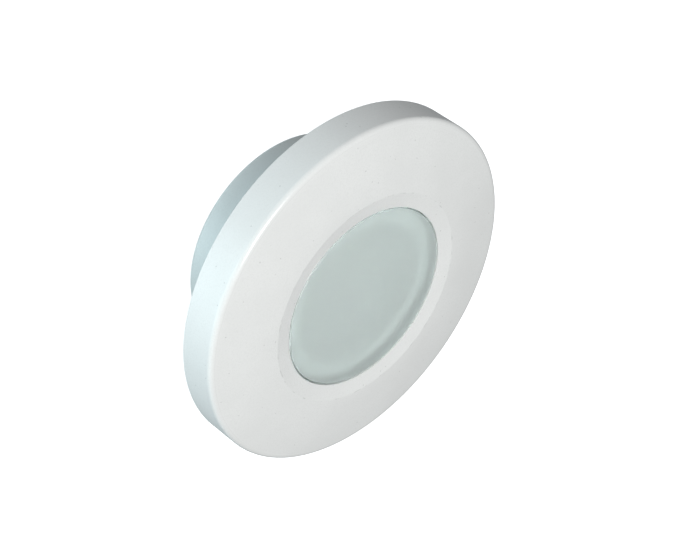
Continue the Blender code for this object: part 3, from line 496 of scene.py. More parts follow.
@dataclass(frozen=True)
class MetallisedBowl:
    """White plastic with a satin metal coat inside a radius.

    Attributes:
        name: The material's name.
        colour: The plastic's colour.
        coat: The metal coat's colour.
        coated_to: The radius where the coat ends.
    """

    name: str
    colour: Colour
    coat: Colour
    coated_to: float
    rough: float = 0.35

    def make(self) -> bpy.types.Material:
        """Builds the material."""
        shader = Shader(self.name)
        mist = shader.noise(320.0, 3.0)
        inside = 1 - shader.spread(shader.radius(), self.coated_to - 0.0006, self.coated_to + 0.0006)
        duller = shaded(self.coat, 0.9)
        coat = shader.blend(shader.spread(mist, 0.35, 0.75), self.coat, duller)
        return shader.surface(
            {
                "Base Color": shader.blend(inside, self.colour, coat),
                "Metallic": inside * 0.5,
                "Roughness": mist * 0.12 + (self.rough - 0.06),
                "Normal": shader.bump(shader.noise(1800.0, 2.0), 0.00001),
            }
        )


# --------------------------------------------------------------- mesh making


@dataclass(frozen=True)
class Reach:
    """How far a CAD node reaches.

    Attributes:
        radius: Its largest X.
        front: Its lowest Y.
        back: Its highest Y.
        middle: The middle of its box.
    """

    radius: float
    front: float
    back: float
    middle: Vector

    @classmethod
    def of(cls, node: str) -> "Reach":
        """Reads a CAD node's box."""
        low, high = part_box(node)
        return cls(high.x, low.y, high.y, (low + high) / 2)


# An arc takes at most this share of the shorter side at its corner, in steps of this many degrees.
ROOM_SHARE = 0.44
ARC_STEP = 12.0

# Each arc ends in a short flat of this share of its reach. A corner this close to straight has none.
FLAT_SHARE = 0.1
NEARLY_STRAIGHT = math.radians(89.5)

# Edges that bend more than this stay sharp, and edges shorter than this are dissolved.
SHARP_EDGE = math.radians(28)
TINY = 1e-7

# How far a cutter reaches past a face, and how far a countersink starts above one.
PAST = 0.001
ABOVE = 0.0005


def around(radius: float, degrees: float, y: float = 0.0) -> Vector:
    """The point at that radius and angle around the lamp's axis."""
    angle = math.radians(degrees)
    return Vector((radius * math.cos(angle), y, radius * math.sin(angle)))


def rounded(corners: Sequence[Corner]) -> list[tuple[float, float]]:
    """Rounds the corners of a closed outline with arcs, and keeps the sides between them flat.

    Args:
        corners: (radius, y, round) for each corner, where round is the arc's radius or 0.

    Returns:
        The (radius, y) points of the outline.
    """
    points: list[tuple[float, float]] = []
    count = len(corners)
    for index, (radius, y, wanted) in enumerate(corners):
        here = Vector((radius, y))
        before = Vector(corners[index - 1][:2]) - here
        after = Vector(corners[(index + 1) % count][:2]) - here
        half = before.angle(after) / 2 if wanted > 0 else math.pi / 2
        if wanted <= 0 or half > NEARLY_STRAIGHT:
            points.append((radius, y))
            continue
        room = ROOM_SHARE * min(before.length, after.length)
        reach = min(wanted / math.tan(half), room)
        arc = reach * math.tan(half)
        to_before, to_after = before.normalized(), after.normalized()
        centre = here + (to_before + to_after).normalized() * (arc / math.sin(half))
        start = here + to_before * reach - centre
        sweep = start.angle_signed(here + to_after * reach - centre)
        steps = max(2, math.ceil(abs(math.degrees(sweep)) / ARC_STEP))
        flat = reach * FLAT_SHARE
        points.append(tuple(here + to_before * (reach + flat)))
        for step in range(steps + 1):
            spoke = start.copy()
            spoke.rotate(Matrix.Rotation(-sweep * step / steps, 2))
            points.append(tuple(centre + spoke))
        points.append(tuple(here + to_after * (reach + flat)))
    return points


class GeometryTree(Tree):
    """A geometry nodes tree with named inputs."""

    def __init__(self, name: str, inputs: dict[str, tuple[str, object]]) -> None:
        """Makes the tree.

        Args:
            name: The tree's name.
            inputs: For each named input, its socket type and its default value.
        """
        self.group = bpy.data.node_groups.new(name, "GeometryNodeTree")
        super().__init__(self.group)
        interface = self.group.interface
        interface.new_socket("Geometry", in_out="INPUT", socket_type="NodeSocketGeometry")
        for label, (kind, value) in inputs.items():
            made = interface.new_socket(label, in_out="INPUT", socket_type=kind)
            if value is not None:
                made.default_value = value
        interface.new_socket("Geometry", in_out="OUTPUT", socket_type="NodeSocketGeometry")
        self.start = self.node("NodeGroupInput", output="Geometry")

    def close(self, geometry: Socket) -> bpy.types.GeometryNodeTree:
        """Ends the tree in Realize Instances and Set Material."""
        solid = self.node("GeometryNodeRealizeInstances", None, {"Geometry": geometry})
        finish = self.start.other("Finish")
        dressed = self.node("GeometryNodeSetMaterial", None, {"Geometry": solid, "Material": finish})
        self.node("NodeGroupOutput", None, {0: dressed})
        return self.group


def turning_tree() -> bpy.types.GeometryNodeTree:
    """A tree that turns a chain of (radius, y) points once around the Y axis."""
    inputs = {"Facets": ("NodeSocketInt", 192), "Finish": ("NodeSocketMaterial", None)}
    tree = GeometryTree("turned_piece", inputs)
    chain = tree.start
    facets = chain.other("Facets")
    count = tree.node("GeometryNodeAttributeDomainSize", {"component": "MESH"}, {0: chain})
    grid = tree.node(
        "GeometryNodeMeshGrid", None, {"Vertices X": facets + 1, "Vertices Y": count}, output="Mesh"
    )
    index = tree.node("GeometryNodeInputIndex")
    column = tree.math("FLOOR", (index + 0.5) / count)
    row = index - column * count
    point = tree.node(
        "GeometryNodeSampleIndex",
        {"data_type": "FLOAT_VECTOR", "domain": "POINT"},
        {"Geometry": chain, "Value": tree.node("GeometryNodeInputPosition"), "Index": row},
    )
    parts = tree.node("ShaderNodeSeparateXYZ", None, {0: point})
    angle = column * math.tau / facets
    place = tree.node(
        "ShaderNodeCombineXYZ",
        None,
        {
            0: parts * tree.math("COSINE", angle),
            1: parts.other("Y"),
            2: parts * tree.math("SINE", angle),
        },
    )
    placed = tree.node("GeometryNodeSetPosition", None, {"Geometry": grid, "Position": place})
    joined = tree.node("GeometryNodeMergeByDistance", None, {"Geometry": placed, "Distance": 1e-6})
    return tree.close(joined)


def ring_tree() -> bpy.types.GeometryNodeTree:
    """A tree that copies a piece around the Y axis, each copy at its own turn about itself."""
    inputs = {
        "Copies": ("NodeSocketInt", 6),
        "Radius": ("NodeSocketFloat", 0.05),
        "Loose turn": ("NodeSocketFloat", 0.0),
        "Seed": ("NodeSocketInt", 1),
        "Finish": ("NodeSocketMaterial", None),
    }
    tree = GeometryTree("ring_of_copies", inputs)
    piece = tree.start
    copies = piece.other("Copies")
    index = tree.node("GeometryNodeInputIndex")
    angle = index * math.tau / copies
    radius = piece.other("Radius")
    place = tree.node(
        "ShaderNodeCombineXYZ",
        None,
        {0: radius * tree.math("COSINE", angle), 1: 0.0, 2: radius * tree.math("SINE", angle)},
    )
    points = tree.node("GeometryNodePoints", None, {"Count": copies, "Position": place})
    loose = tree.node(
        "FunctionNodeRandomValue",
        {"data_type": "FLOAT"},
        {2: 0.0, 3: piece.other("Loose turn"), "Seed": piece.other("Seed")},
        output=1,
    )
    turn = tree.node("ShaderNodeCombineXYZ", None, {0: 0.0, 1: loose - angle, 2: 0.0})
    spread = tree.node(
        "GeometryNodeInstanceOnPoints", None, {"Points": points, "Instance": piece, "Rotation": turn}
    )
    return tree.close(spread)


def linked(name: str, data: bpy.types.ID) -> bpy.types.Object:
    """A new object with this data, linked to the scene."""
    obj = bpy.data.objects.new(name, data)
    bpy.context.scene.collection.objects.link(obj)
    return obj


def meshed(name: str, work: bmesh.types.BMesh) -> bpy.types.Mesh:
    """Keeps a working mesh as a plain one, and frees it."""
    mesh = bpy.data.meshes.new(name)
    work.to_mesh(mesh)
    work.free()
    return mesh


def evaluated(obj: bpy.types.Object) -> bpy.types.Mesh:
    """An object's mesh with its modifiers applied."""
    bpy.context.view_layer.update()
    graph = bpy.context.evaluated_depsgraph_get()
    return bpy.data.meshes.new_from_object(obj.evaluated_get(graph))


class Workshop:
    """Makes meshes: turned pieces, rings of copies, and pieces cut or joined by others."""

    def __init__(self) -> None:
        """Builds the two trees that pieces are made with."""
        self.turning = turning_tree()
        self.ringing = ring_tree()

    def grown(
        self, name: str, mesh: bpy.types.Mesh, tree: bpy.types.NodeTree, inputs: dict[str, Value]
    ) -> bpy.types.Object:
        """Runs a geometry tree on a mesh and keeps the result as a plain mesh.

        Args:
            name: The new piece's name.
            mesh: What the tree starts from.
            tree: The geometry tree.
            inputs: The tree's named inputs.

        Returns:
            The finished piece.
        """
        start = linked(name + "_start", mesh)
        modifier = start.modifiers.new("grow", "NODES")
        modifier.node_group = tree
        for item in tree.interface.items_tree:
            if item.in_out == "INPUT" and item.name in inputs:
                modifier[item.identifier] = inputs[item.name]
        made = evaluated(start)
        bpy.data.objects.remove(start, do_unlink=True)
        return self.piece(name, made, inputs["Finish"])

    @staticmethod
    def piece(name: str, mesh: bpy.types.Mesh, material: bpy.types.Material) -> bpy.types.Object:
        """Links a mesh as a piece of one material, facing out, with its round faces smooth."""
        mesh.materials.clear()
        mesh.materials.append(material)
        mesh.polygons.foreach_set("material_index", [0] * len(mesh.polygons))
        work = bmesh.new()
        work.from_mesh(mesh)
        bmesh.ops.dissolve_degenerate(work, edges=work.edges, dist=TINY)
        bmesh.ops.recalc_face_normals(work, faces=work.faces)
        work.to_mesh(mesh)
        work.free()
        mesh.name = name
        mesh.shade_smooth()
        mesh.set_sharp_from_angle(angle=SHARP_EDGE)
        return linked(name, mesh)

    def turned(
        self, name: str, corners: Sequence[Corner], material: bpy.types.Material, facets: int = 192
    ) -> bpy.types.Object:
        """Turns a closed outline of (radius, y, round) corners around the Y axis."""
        points = rounded(corners)
        mesh = bpy.data.meshes.new(name)
        chain = [Vector((radius, y, 0.0)) for radius, y in points + points[:1]]
        mesh.from_pydata(chain, [(i, i + 1) for i in range(len(chain) - 1)], [])
        return self.grown(name, mesh, self.turning, {"Facets": facets, "Finish": material})

    def ring(
        self,
        name: str,
        single: bpy.types.Object,
        copies: int,
        radius: float,
        material: bpy.types.Material,
        loose_turn: float = 0.0,
    ) -> bpy.types.Object:
        """Copies a piece around the axis, and removes the single one.

        Args:
            name: The name of the ring.
            single: The piece to copy, made on the axis.
            copies: How many.
            radius: The ring's radius.
            material: The copies' material.
            loose_turn: The most that a copy is turned about itself, in degrees.

        Returns:
            All copies as one piece.
        """
        inputs = {
            "Copies": copies,
            "Radius": radius,
            "Loose turn": math.radians(loose_turn),
            "Seed": len(name),
            "Finish": material,
        }
        mesh = single.data
        bpy.data.objects.remove(single, do_unlink=True)
        return self.grown(name, mesh, self.ringing, inputs)

    @staticmethod
    def rods(
        places: Iterable[Vector], front: float, back: float, wide: float, narrow: float | None = None,
        facets: int = 32,
    ) -> bpy.types.Mesh:
        """Rods or cones along Y at these places, wide at the front and narrow at the back."""
        work = bmesh.new()
        for place in places:
            middle = Vector((place.x, (front + back) / 2, place.z))
            turn = Matrix.Rotation(math.radians(-90), 4, "X")
            bmesh.ops.create_cone(
                work,
                cap_ends=True,
                segments=facets,
                radius1=wide,
                radius2=wide if narrow is None else narrow,
                depth=back - front,
                matrix=Matrix.Translation(middle) @ turn,
            )
        return meshed("rods", work)

    @staticmethod
    def blocks(
        places: Iterable[tuple[Vector, float]], size: Vector, bevel: float = 0.0
    ) -> bpy.types.Mesh:
        """Boxes of one size at (centre, degrees about the axis) places."""
        work = bmesh.new()
        for centre, degrees in places:
            turn = Matrix.Rotation(math.radians(-degrees), 4, "Y")
            matrix = Matrix.Translation(centre) @ turn @ Matrix.Diagonal((*size, 1.0))
            bmesh.ops.create_cube(work, size=1.0, matrix=matrix)
        if bevel:
            bmesh.ops.bevel(
                work, geom=work.edges, offset=bevel, segments=3, profile=0.5, affect="EDGES"
            )
        return meshed("blocks", work)

    def shape(self, obj: bpy.types.Object, *steps: tuple[Cut, bpy.types.Mesh]) -> bpy.types.Object:
        """Cuts or joins a piece by helper meshes, in order.

        Args:
            obj: The piece.
            steps: What to do and with which mesh.

        Returns:
            The same piece with its new mesh.
        """
        helpers = []
        for cut, mesh in steps:
            helper = linked("helper", mesh)
            modifier = obj.modifiers.new("cut", "BOOLEAN")
            modifier.operation = cut.value
            modifier.solver = "EXACT"
            modifier.object = helper
            helpers.append(helper)
        name, material = obj.name, obj.data.materials[0]
        made = evaluated(obj)
        for spare in [obj, *helpers]:
            bpy.data.objects.remove(spare, do_unlink=True)
        return self.piece(name, made, material)

    def six_sided(self, obj: bpy.types.Object, reach: Reach, radius: float) -> bpy.types.Object:
        """Cuts a turned piece down to a hexagon whose corners are at this radius."""
        prism = self.rods([Vector()], reach.front - PAST, reach.back + PAST, radius, facets=6)
        return self.shape(obj, (Cut.KEEP_INSIDE, prism))


def settle(
    obj: bpy.types.Object, body: Body, nodes: Sequence[str]
) -> bpy.types.Object:
    """Makes a piece ride on its body in place of its CAD nodes.

    Args:
        obj: The finished piece.
        body: The body it moves with.
        nodes: The CAD nodes that it stands for.

    Returns:
        The same piece.
    """
    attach(obj, body.value)
    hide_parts(*nodes)
    LOG.info("%s: %d faces, rides on %s", obj.name, len(obj.data.polygons), body.value)
    return obj


def numbered(name: str, count: int) -> list[str]:
    """The names of nodes that are numbered from 1."""
    return [f"{name}_{number}" for number in range(1, count + 1)]


# ------------------------------------------------------------ sub-assemblies

# The clearance between two pieces, and the round of a fine edge.
GAP = 0.0003
ARRIS = 0.00025


def band(inside: float, reach: Reach, inner: float, outer: float) -> list[Corner]:
    """The outline of a flat ring that fills a reach, with its inner and outer edges' rounds."""
    return [
        (inside, reach.front, inner),
        (reach.radius, reach.front, outer),
        (reach.radius, reach.back, outer),
        (inside, reach.back, inner),
    ]


@dataclass
class TrimRing:
    """The hollow crowned cover around the window."""

    shop: Workshop
    plastic: bpy.types.Material
    bore: float = 0.0391
    dish_radius: float = 0.0457
    edge_round: float = 0.0022
    draft: float = 0.00015
    rim_depth: float = 0.0160
    crown_power: float = 1.35
    wall: float = 0.0026
    skirt_wall: float = 0.0020
    skirt_bore: float = 0.0586
    skirt_reach: float = 0.0085
    underside: float = -0.0167
    window_front: float = -0.0181
    notch_width: float = 0.0100
    notch_depth: float = 0.0018
    span: Reach = field(default_factory=lambda: Reach.of("trim_ring"))

    def face(self, radius: float) -> float:
        """How far along Y the crowned face is at this radius."""
        outer = self.span.radius - self.draft - self.edge_round
        crown = -self.rim_depth - self.span.front
        share = max(0.0, (radius - self.dish_radius) / (outer - self.dish_radius))
        return self.span.front + crown * share**self.crown_power

    def corners(self) -> list[Corner]:
        """The outline of the ring's section."""
        outer = self.span.radius
        edge = outer - self.draft
        steps = 14
        outline: list[Corner] = [
            (self.bore, self.underside, 0.0002),
            (self.bore, self.window_front, ARRIS),
            (self.dish_radius, self.span.front, 0.0007),
        ]
        for step in range(1, steps):
            radius = self.dish_radius + (edge - self.edge_round - self.dish_radius) * step / steps
            outline.append((radius, self.face(radius), 0.0))
        inner = outer - self.wall
        skirt = self.skirt_bore + self.skirt_wall
        skirt_end = self.underside + self.skirt_reach
        return outline + [
            (edge, self.face(edge), self.edge_round),
            (outer, 0.0, 0.0003),
            (inner, 0.0, 0.0004),
            (inner, -self.rim_depth + self.wall, 0.0012),
            (skirt, self.face(skirt) + self.wall, 0.0008),
            (skirt, skirt_end, 0.0004),
            (self.skirt_bore, skirt_end, 0.0005),
            (self.skirt_bore, self.underside, 0.0003),
        ]

    def build(self) -> None:
        """Makes the ring and its pry notch."""
        ring = self.shop.turned("trim_ring_shell", self.corners(), self.plastic, 256)
        size = Vector((self.notch_width, 2 * self.notch_depth, 4 * self.wall))
        place = (Vector((0, 0, -self.span.radius)), 0.0)
        notch = self.shop.blocks([place], size, 0.0008)
        ring = self.shop.shape(ring, (Cut.REMOVE, notch))
        settle(ring, Body.TRIM, ["trim_ring"])


@dataclass
class Window:
    """The stepped glass with its cushion and its seal."""

    shop: Workshop
    glass: bpy.types.Material
    silicone: bpy.types.Material
    boss_radius: float = 0.0387
    boss_thick: float = 0.0038
    arris: float = 0.0006
    seal_bore: float = 0.0386
    span: Reach = field(default_factory=lambda: Reach.of("window_glass"))

    def build(self) -> None:
        """Makes the glass and the two rings of silicone."""
        step = self.span.front + self.boss_thick
        corners = [
            (0.0, self.span.front, 0.0),
            (self.boss_radius - self.arris, self.span.front, 0.0004),
            (self.boss_radius, self.span.front + self.arris, 0.0004),
            (self.boss_radius, step, 0.0003),
            (self.span.radius, step, 0.0004),
            (self.span.radius, self.span.back, 0.0004),
            (0.0, self.span.back, 0.0),
        ]
        glass = self.shop.turned("window_pane", corners, self.glass, 256)
        settle(glass, Body.HOUSING, ["window_glass"])
        bores = {"window_cushion": self.boss_radius + 3 * GAP, "window_seal": self.seal_bore}
        for node, inside in bores.items():
            ring = band(inside, Reach.of(node), 0.0002, 0.0002)
            made = self.shop.turned(node + "_ring", ring, self.silicone, 160)
            settle(made, Body.HOUSING, [node])


@dataclass
class Clamping:
    """The steel ring that holds the window down, and its screws."""

    shop: Workshop
    steel: bpy.types.Material
    screws: int = 6
    bore: float = 0.0396
    lip_thick: float = 0.0010
    lip_radius: float = 0.0448
    screw_radius: float = 0.0020
    head_radius: float = 0.0038
    head_thick: float = 0.0017
    socket_radius: float = 0.0014
    socket_depth: float = 0.0012
    thread_depth: float = 0.0003
    span: Reach = field(default_factory=lambda: Reach.of("clamp_ring"))

    def build(self) -> None:
        """Makes the ring and the screws."""
        front, back = self.span.front, self.span.back
        corners = [
            (self.bore, front, 0.0003),
            (self.span.radius, front, 0.0003),
            (self.span.radius, back, 0.0002),
            (self.lip_radius, back, 0.0002),
            (self.lip_radius, front + self.lip_thick, 0.0002),
            (self.bore, front + self.lip_thick, 0.0002),
        ]
        ring = self.shop.turned("clamp_ring_plate", corners, self.steel)
        first = Reach.of("clamp_screw_1")
        circle = first.middle.x
        places = [around(circle, 360 / self.screws * i) for i in range(self.screws)]
        hole = self.screw_radius + GAP
        head = self.head_radius + 2 * GAP
        sink_back = front + self.head_thick + GAP
        wide = head + (head - hole) / (sink_back - front) * ABOVE
        holes = self.shop.rods(places, front - PAST, back + PAST, hole)
        sinks = self.shop.rods(places, front - ABOVE, sink_back, wide, hole - 0.0001)
        ring = self.shop.shape(ring, (Cut.REMOVE, holes), (Cut.REMOVE, sinks))
        settle(ring, Body.HOUSING, ["clamp_ring"])
        outline = [
            (0.0, front, 0.0),
            (self.head_radius, front, 0.0001),
            (self.screw_radius, front + self.head_thick, 0.0003),
            *self.thread(front + self.head_thick, first.back - self.screw_radius / 2),
            (self.screw_radius / 2, first.back, 0.0002),
            (0.0, first.back, 0.0),
        ]
        screw = self.shop.turned("clamp_screw", outline, self.steel, 32)
        socket_floor = front + self.socket_depth
        socket = self.shop.rods([Vector()], front - PAST, socket_floor, self.socket_radius, facets=6)
        screw = self.shop.shape(screw, (Cut.REMOVE, socket))
        screws = self.shop.ring("clamp_screws", screw, self.screws, circle, self.steel, 60.0)
        settle(screws, Body.HOUSING, numbered("clamp_screw", self.screws))

    def thread(self, start: float, end: float, pitch: float = 0.0007) -> list[Corner]:
        """The grooves of a thread between two places along the screw."""
        turns = int((end - start) / pitch) - 1
        points: list[Corner] = []
        for turn in range(1, turns):
            y = start + turn * pitch
            points.append((self.screw_radius, y, 0.0))
            points.append((self.screw_radius - self.thread_depth, y + pitch / 2, 0.0))
        return points


@dataclass
class Housing:
    """The moulding that holds everything, with its gasket and grip ring."""

    shop: Workshop
    plastic: bpy.types.Material
    rubber: bpy.types.Material
    seat_bore: float = 0.0385
    seat: float = -0.0101
    pilot_back: float = -0.0078
    seat_thick: float = 0.0028
    pocket: float = 0.0448
    collar: float = 0.0580
    collar_front: float = -0.0139
    flange_front: float = -0.0060
    flange_back: float = -0.0020
    drum: float = 0.0468
    drum_wall: float = 0.0028
    back_wall: float = 0.0030
    drum_round: float = 0.0020
    well: float = 0.0170
    well_depth: float = 0.0080
    gland_bore: float = 0.0081
    boss_wall: float = 0.0040
    boss_reach: float = 0.0040
    grip: float = 0.0022
    post_circle: float = 0.0390
    post_radius: float = 0.0053
    post_front: float = 0.0097
    post_hole: float = 0.0018
    post_hole_back: float = 0.0180
    pilot_hole: float = 0.0023
    wall_hole: float = 0.0026
    wall_head: float = 0.0048
    groove_width: float = 0.0012
    groove_depth: float = 0.0004
    outer_grooves: tuple[float, ...] = (0.0006, 0.0109)
    inner_grooves: tuple[float, ...] = (0.0090, 0.0050)
    span: Reach = field(default_factory=lambda: Reach.of("housing"))

    def wall_places(self) -> list[Vector]:
        """Where the four wall screws go."""
        circle = (self.collar + self.span.radius) / 2
        return [around(circle, 45 + 90 * i) for i in range(4)]

    def corners(self) -> list[Corner]:
        """The outline of the housing's section."""
        floor = self.span.back
        well_floor = floor - self.well_depth
        ceiling = well_floor - self.back_wall
        inside = self.drum - self.drum_wall
        groove = (self.collar_front + self.flange_front) / 2
        half = self.grip / 2 + GAP
        groove_floor = self.collar - self.grip
        flange = self.span.radius
        return [
            (self.gland_bore, ceiling - self.boss_reach, 0.0003),
            (self.gland_bore + self.boss_wall, ceiling - self.boss_reach, 0.0004),
            (self.gland_bore + self.boss_wall, ceiling, 0.0006),
            (self.well + self.drum_wall, ceiling, 0.0010),
            (self.well + self.drum_wall, floor - self.back_wall, 0.0006),
            (inside, floor - self.back_wall, 0.0010),
            (inside, self.seat + self.seat_thick, 0.0003),
            (self.seat_bore, self.seat + self.seat_thick, 0.0003),
            (self.seat_bore, self.seat, 0.0002),
            (self.pocket, self.seat, 0.0002),
            (self.pocket, self.collar_front, 0.0004),
            (self.collar, self.collar_front, 0.0006),
            (self.collar, groove - half, 0.0002),
            (groove_floor, groove - half, 0.0003),
            (groove_floor, groove + half, 0.0003),
            (self.collar, groove + half, 0.0002),
            (self.collar, self.flange_front, 0.0005),
            (flange, self.flange_front, 0.0006),
            (flange, self.flange_back, 0.0003),
            (self.drum, self.flange_back, 0.0002),
            (self.drum, floor, self.drum_round),
            (self.well, floor, 0.0005),
            (self.well, well_floor, 0.0006),
            (self.gland_bore, well_floor, 0.0003),
        ]

    def build(self) -> None:
        """Makes the moulding, the gasket and the grip ring."""
        body = self.shop.turned("housing_shell", self.corners(), self.plastic, 256)
        posts = [around(self.post_circle, 30 + 120 * i) for i in range(3)]
        screws = [around((self.pocket + self.collar) / 2, 60 * i) for i in range(6)]
        wall = self.wall_places()
        front = self.flange_front
        sink_back = front + self.wall_head - self.wall_hole
        inner_floor = self.span.back - self.back_wall + PAST
        rods = self.shop.rods
        body = self.shop.shape(
            body,
            (Cut.ADD, rods(posts, self.post_front, inner_floor, self.post_radius, facets=48)),
            (Cut.REMOVE, rods(posts, self.post_front - PAST, self.post_hole_back, self.post_hole)),
            (Cut.REMOVE, rods(screws, self.collar_front - PAST, self.pilot_back, self.pilot_hole)),
            (Cut.REMOVE, rods(wall, front - PAST, self.flange_back + PAST, self.wall_hole)),
            (Cut.REMOVE, rods(wall, front - ABOVE, sink_back, self.wall_head + ABOVE, self.wall_hole)),
        )
        settle(body, Body.HOUSING, ["housing"])
        self.build_gasket(wall)
        self.build_grip_ring()

    def build_gasket(self, wall: Sequence[Vector]) -> None:
        """Makes the wall gasket, with ridges between shallow grooves."""
        reach = Reach.of("wall_gasket")
        inside = self.drum + 3 * GAP
        corners: list[Corner] = [
            (inside, reach.front, 0.0002),
            (reach.radius, reach.front, 0.0002),
            (reach.radius, reach.back, 0.0002),
        ]
        outer = [reach.radius - inset for inset in self.outer_grooves]
        inner = [inside + inset for inset in self.inner_grooves]
        for radius in outer + inner:
            corners += [
                (radius, reach.back, 0.0),
                (radius - self.groove_width / 2, reach.back - self.groove_depth, 0.0),
                (radius - self.groove_width, reach.back, 0.0),
            ]
        corners.append((inside, reach.back, 0.0002))
        gasket = self.shop.turned("wall_gasket_ring", corners, self.rubber)
        holes = self.shop.rods(wall, reach.front - PAST, reach.back + PAST, self.wall_hole + GAP)
        gasket = self.shop.shape(gasket, (Cut.REMOVE, holes))
        settle(gasket, Body.HOUSING, ["wall_gasket"])

    def build_grip_ring(self) -> None:
        """Makes the round-section ring in the collar's groove."""
        reach = Reach.of("grip_ring")
        half = (reach.back - reach.front) / 2
        centre = reach.radius - half
        corners = []
        steps = 20
        for step in range(steps):
            angle = math.tau * step / steps
            y = reach.middle.y + half * math.sin(angle)
            corners.append((centre + half * math.cos(angle), y, 0.0))
        ring = self.shop.turned("grip_ring_cord", corners, self.rubber, 160)
        settle(ring, Body.HOUSING, ["grip_ring"])


@dataclass
class LightEngine:
    """The reflector and the lamps in it."""

    shop: Workshop
    bowl_coat: bpy.types.Material
    phosphor: bpy.types.Material
    lip: float = 0.0072
    wall: float = 0.0012
    mouth: float = 0.0260
    lamps: int = 8
    lamp_circle: float = 0.0180
    lamp_radius: float = 0.0027
    dome: float = 0.0020

    def build(self) -> None:
        """Makes the reflector and the lamps."""
        reach = Reach.of("reflector")
        bowl = reach.radius - self.lip
        steps = 16
        corners: list[Corner] = []
        for step in range(steps + 1):
            share = step / steps
            y = reach.front + (reach.back - reach.front) * math.sin(share * math.pi / 2)
            corners.append((bowl + (self.mouth - bowl) * share**1.5, y, 0.0))
        corners += [
            (self.mouth + 2 * self.wall, reach.back, 0.0003),
            (bowl + self.wall, (reach.front + reach.back) / 2, 0.002),
            (bowl + self.wall, reach.front + self.wall, 0.0004),
            (reach.radius, reach.front + self.wall, 0.0003),
            (reach.radius, reach.front, 0.0003),
        ]
        bowl_piece = self.shop.turned("reflector_bowl", corners, self.bowl_coat)
        settle(bowl_piece, Body.HOUSING, ["reflector"])
        self.build_lamps()

    def build_lamps(self) -> None:
        """Makes the lamps, one in the middle and a ring around it."""
        lamp = Reach.of("led_1")
        base = lamp.front + self.dome
        corners: list[Corner] = [
            (0.0, lamp.back, 0.0),
            (self.lamp_radius, lamp.back, 0.0002),
            (self.lamp_radius, base, 0.0002),
        ]
        steps = 8
        for step in range(steps + 1):
            angle = math.pi / 2 * step / steps
            corners.append((self.dome * math.cos(angle), base - self.dome * math.sin(angle), 0.0))
        corners[-1] = (0.0, lamp.front, 0.0)
        middle = self.shop.turned("led_middle", corners, self.phosphor, 24)
        settle(middle, Body.HOUSING, ["led_1"])
        single = self.shop.turned("led_single", corners, self.phosphor, 24)
        ring = self.shop.ring("led_ring", single, self.lamps, self.lamp_circle, self.phosphor)
        nodes = numbered("led", self.lamps + 1)[1:]
        settle(ring, Body.HOUSING, nodes)


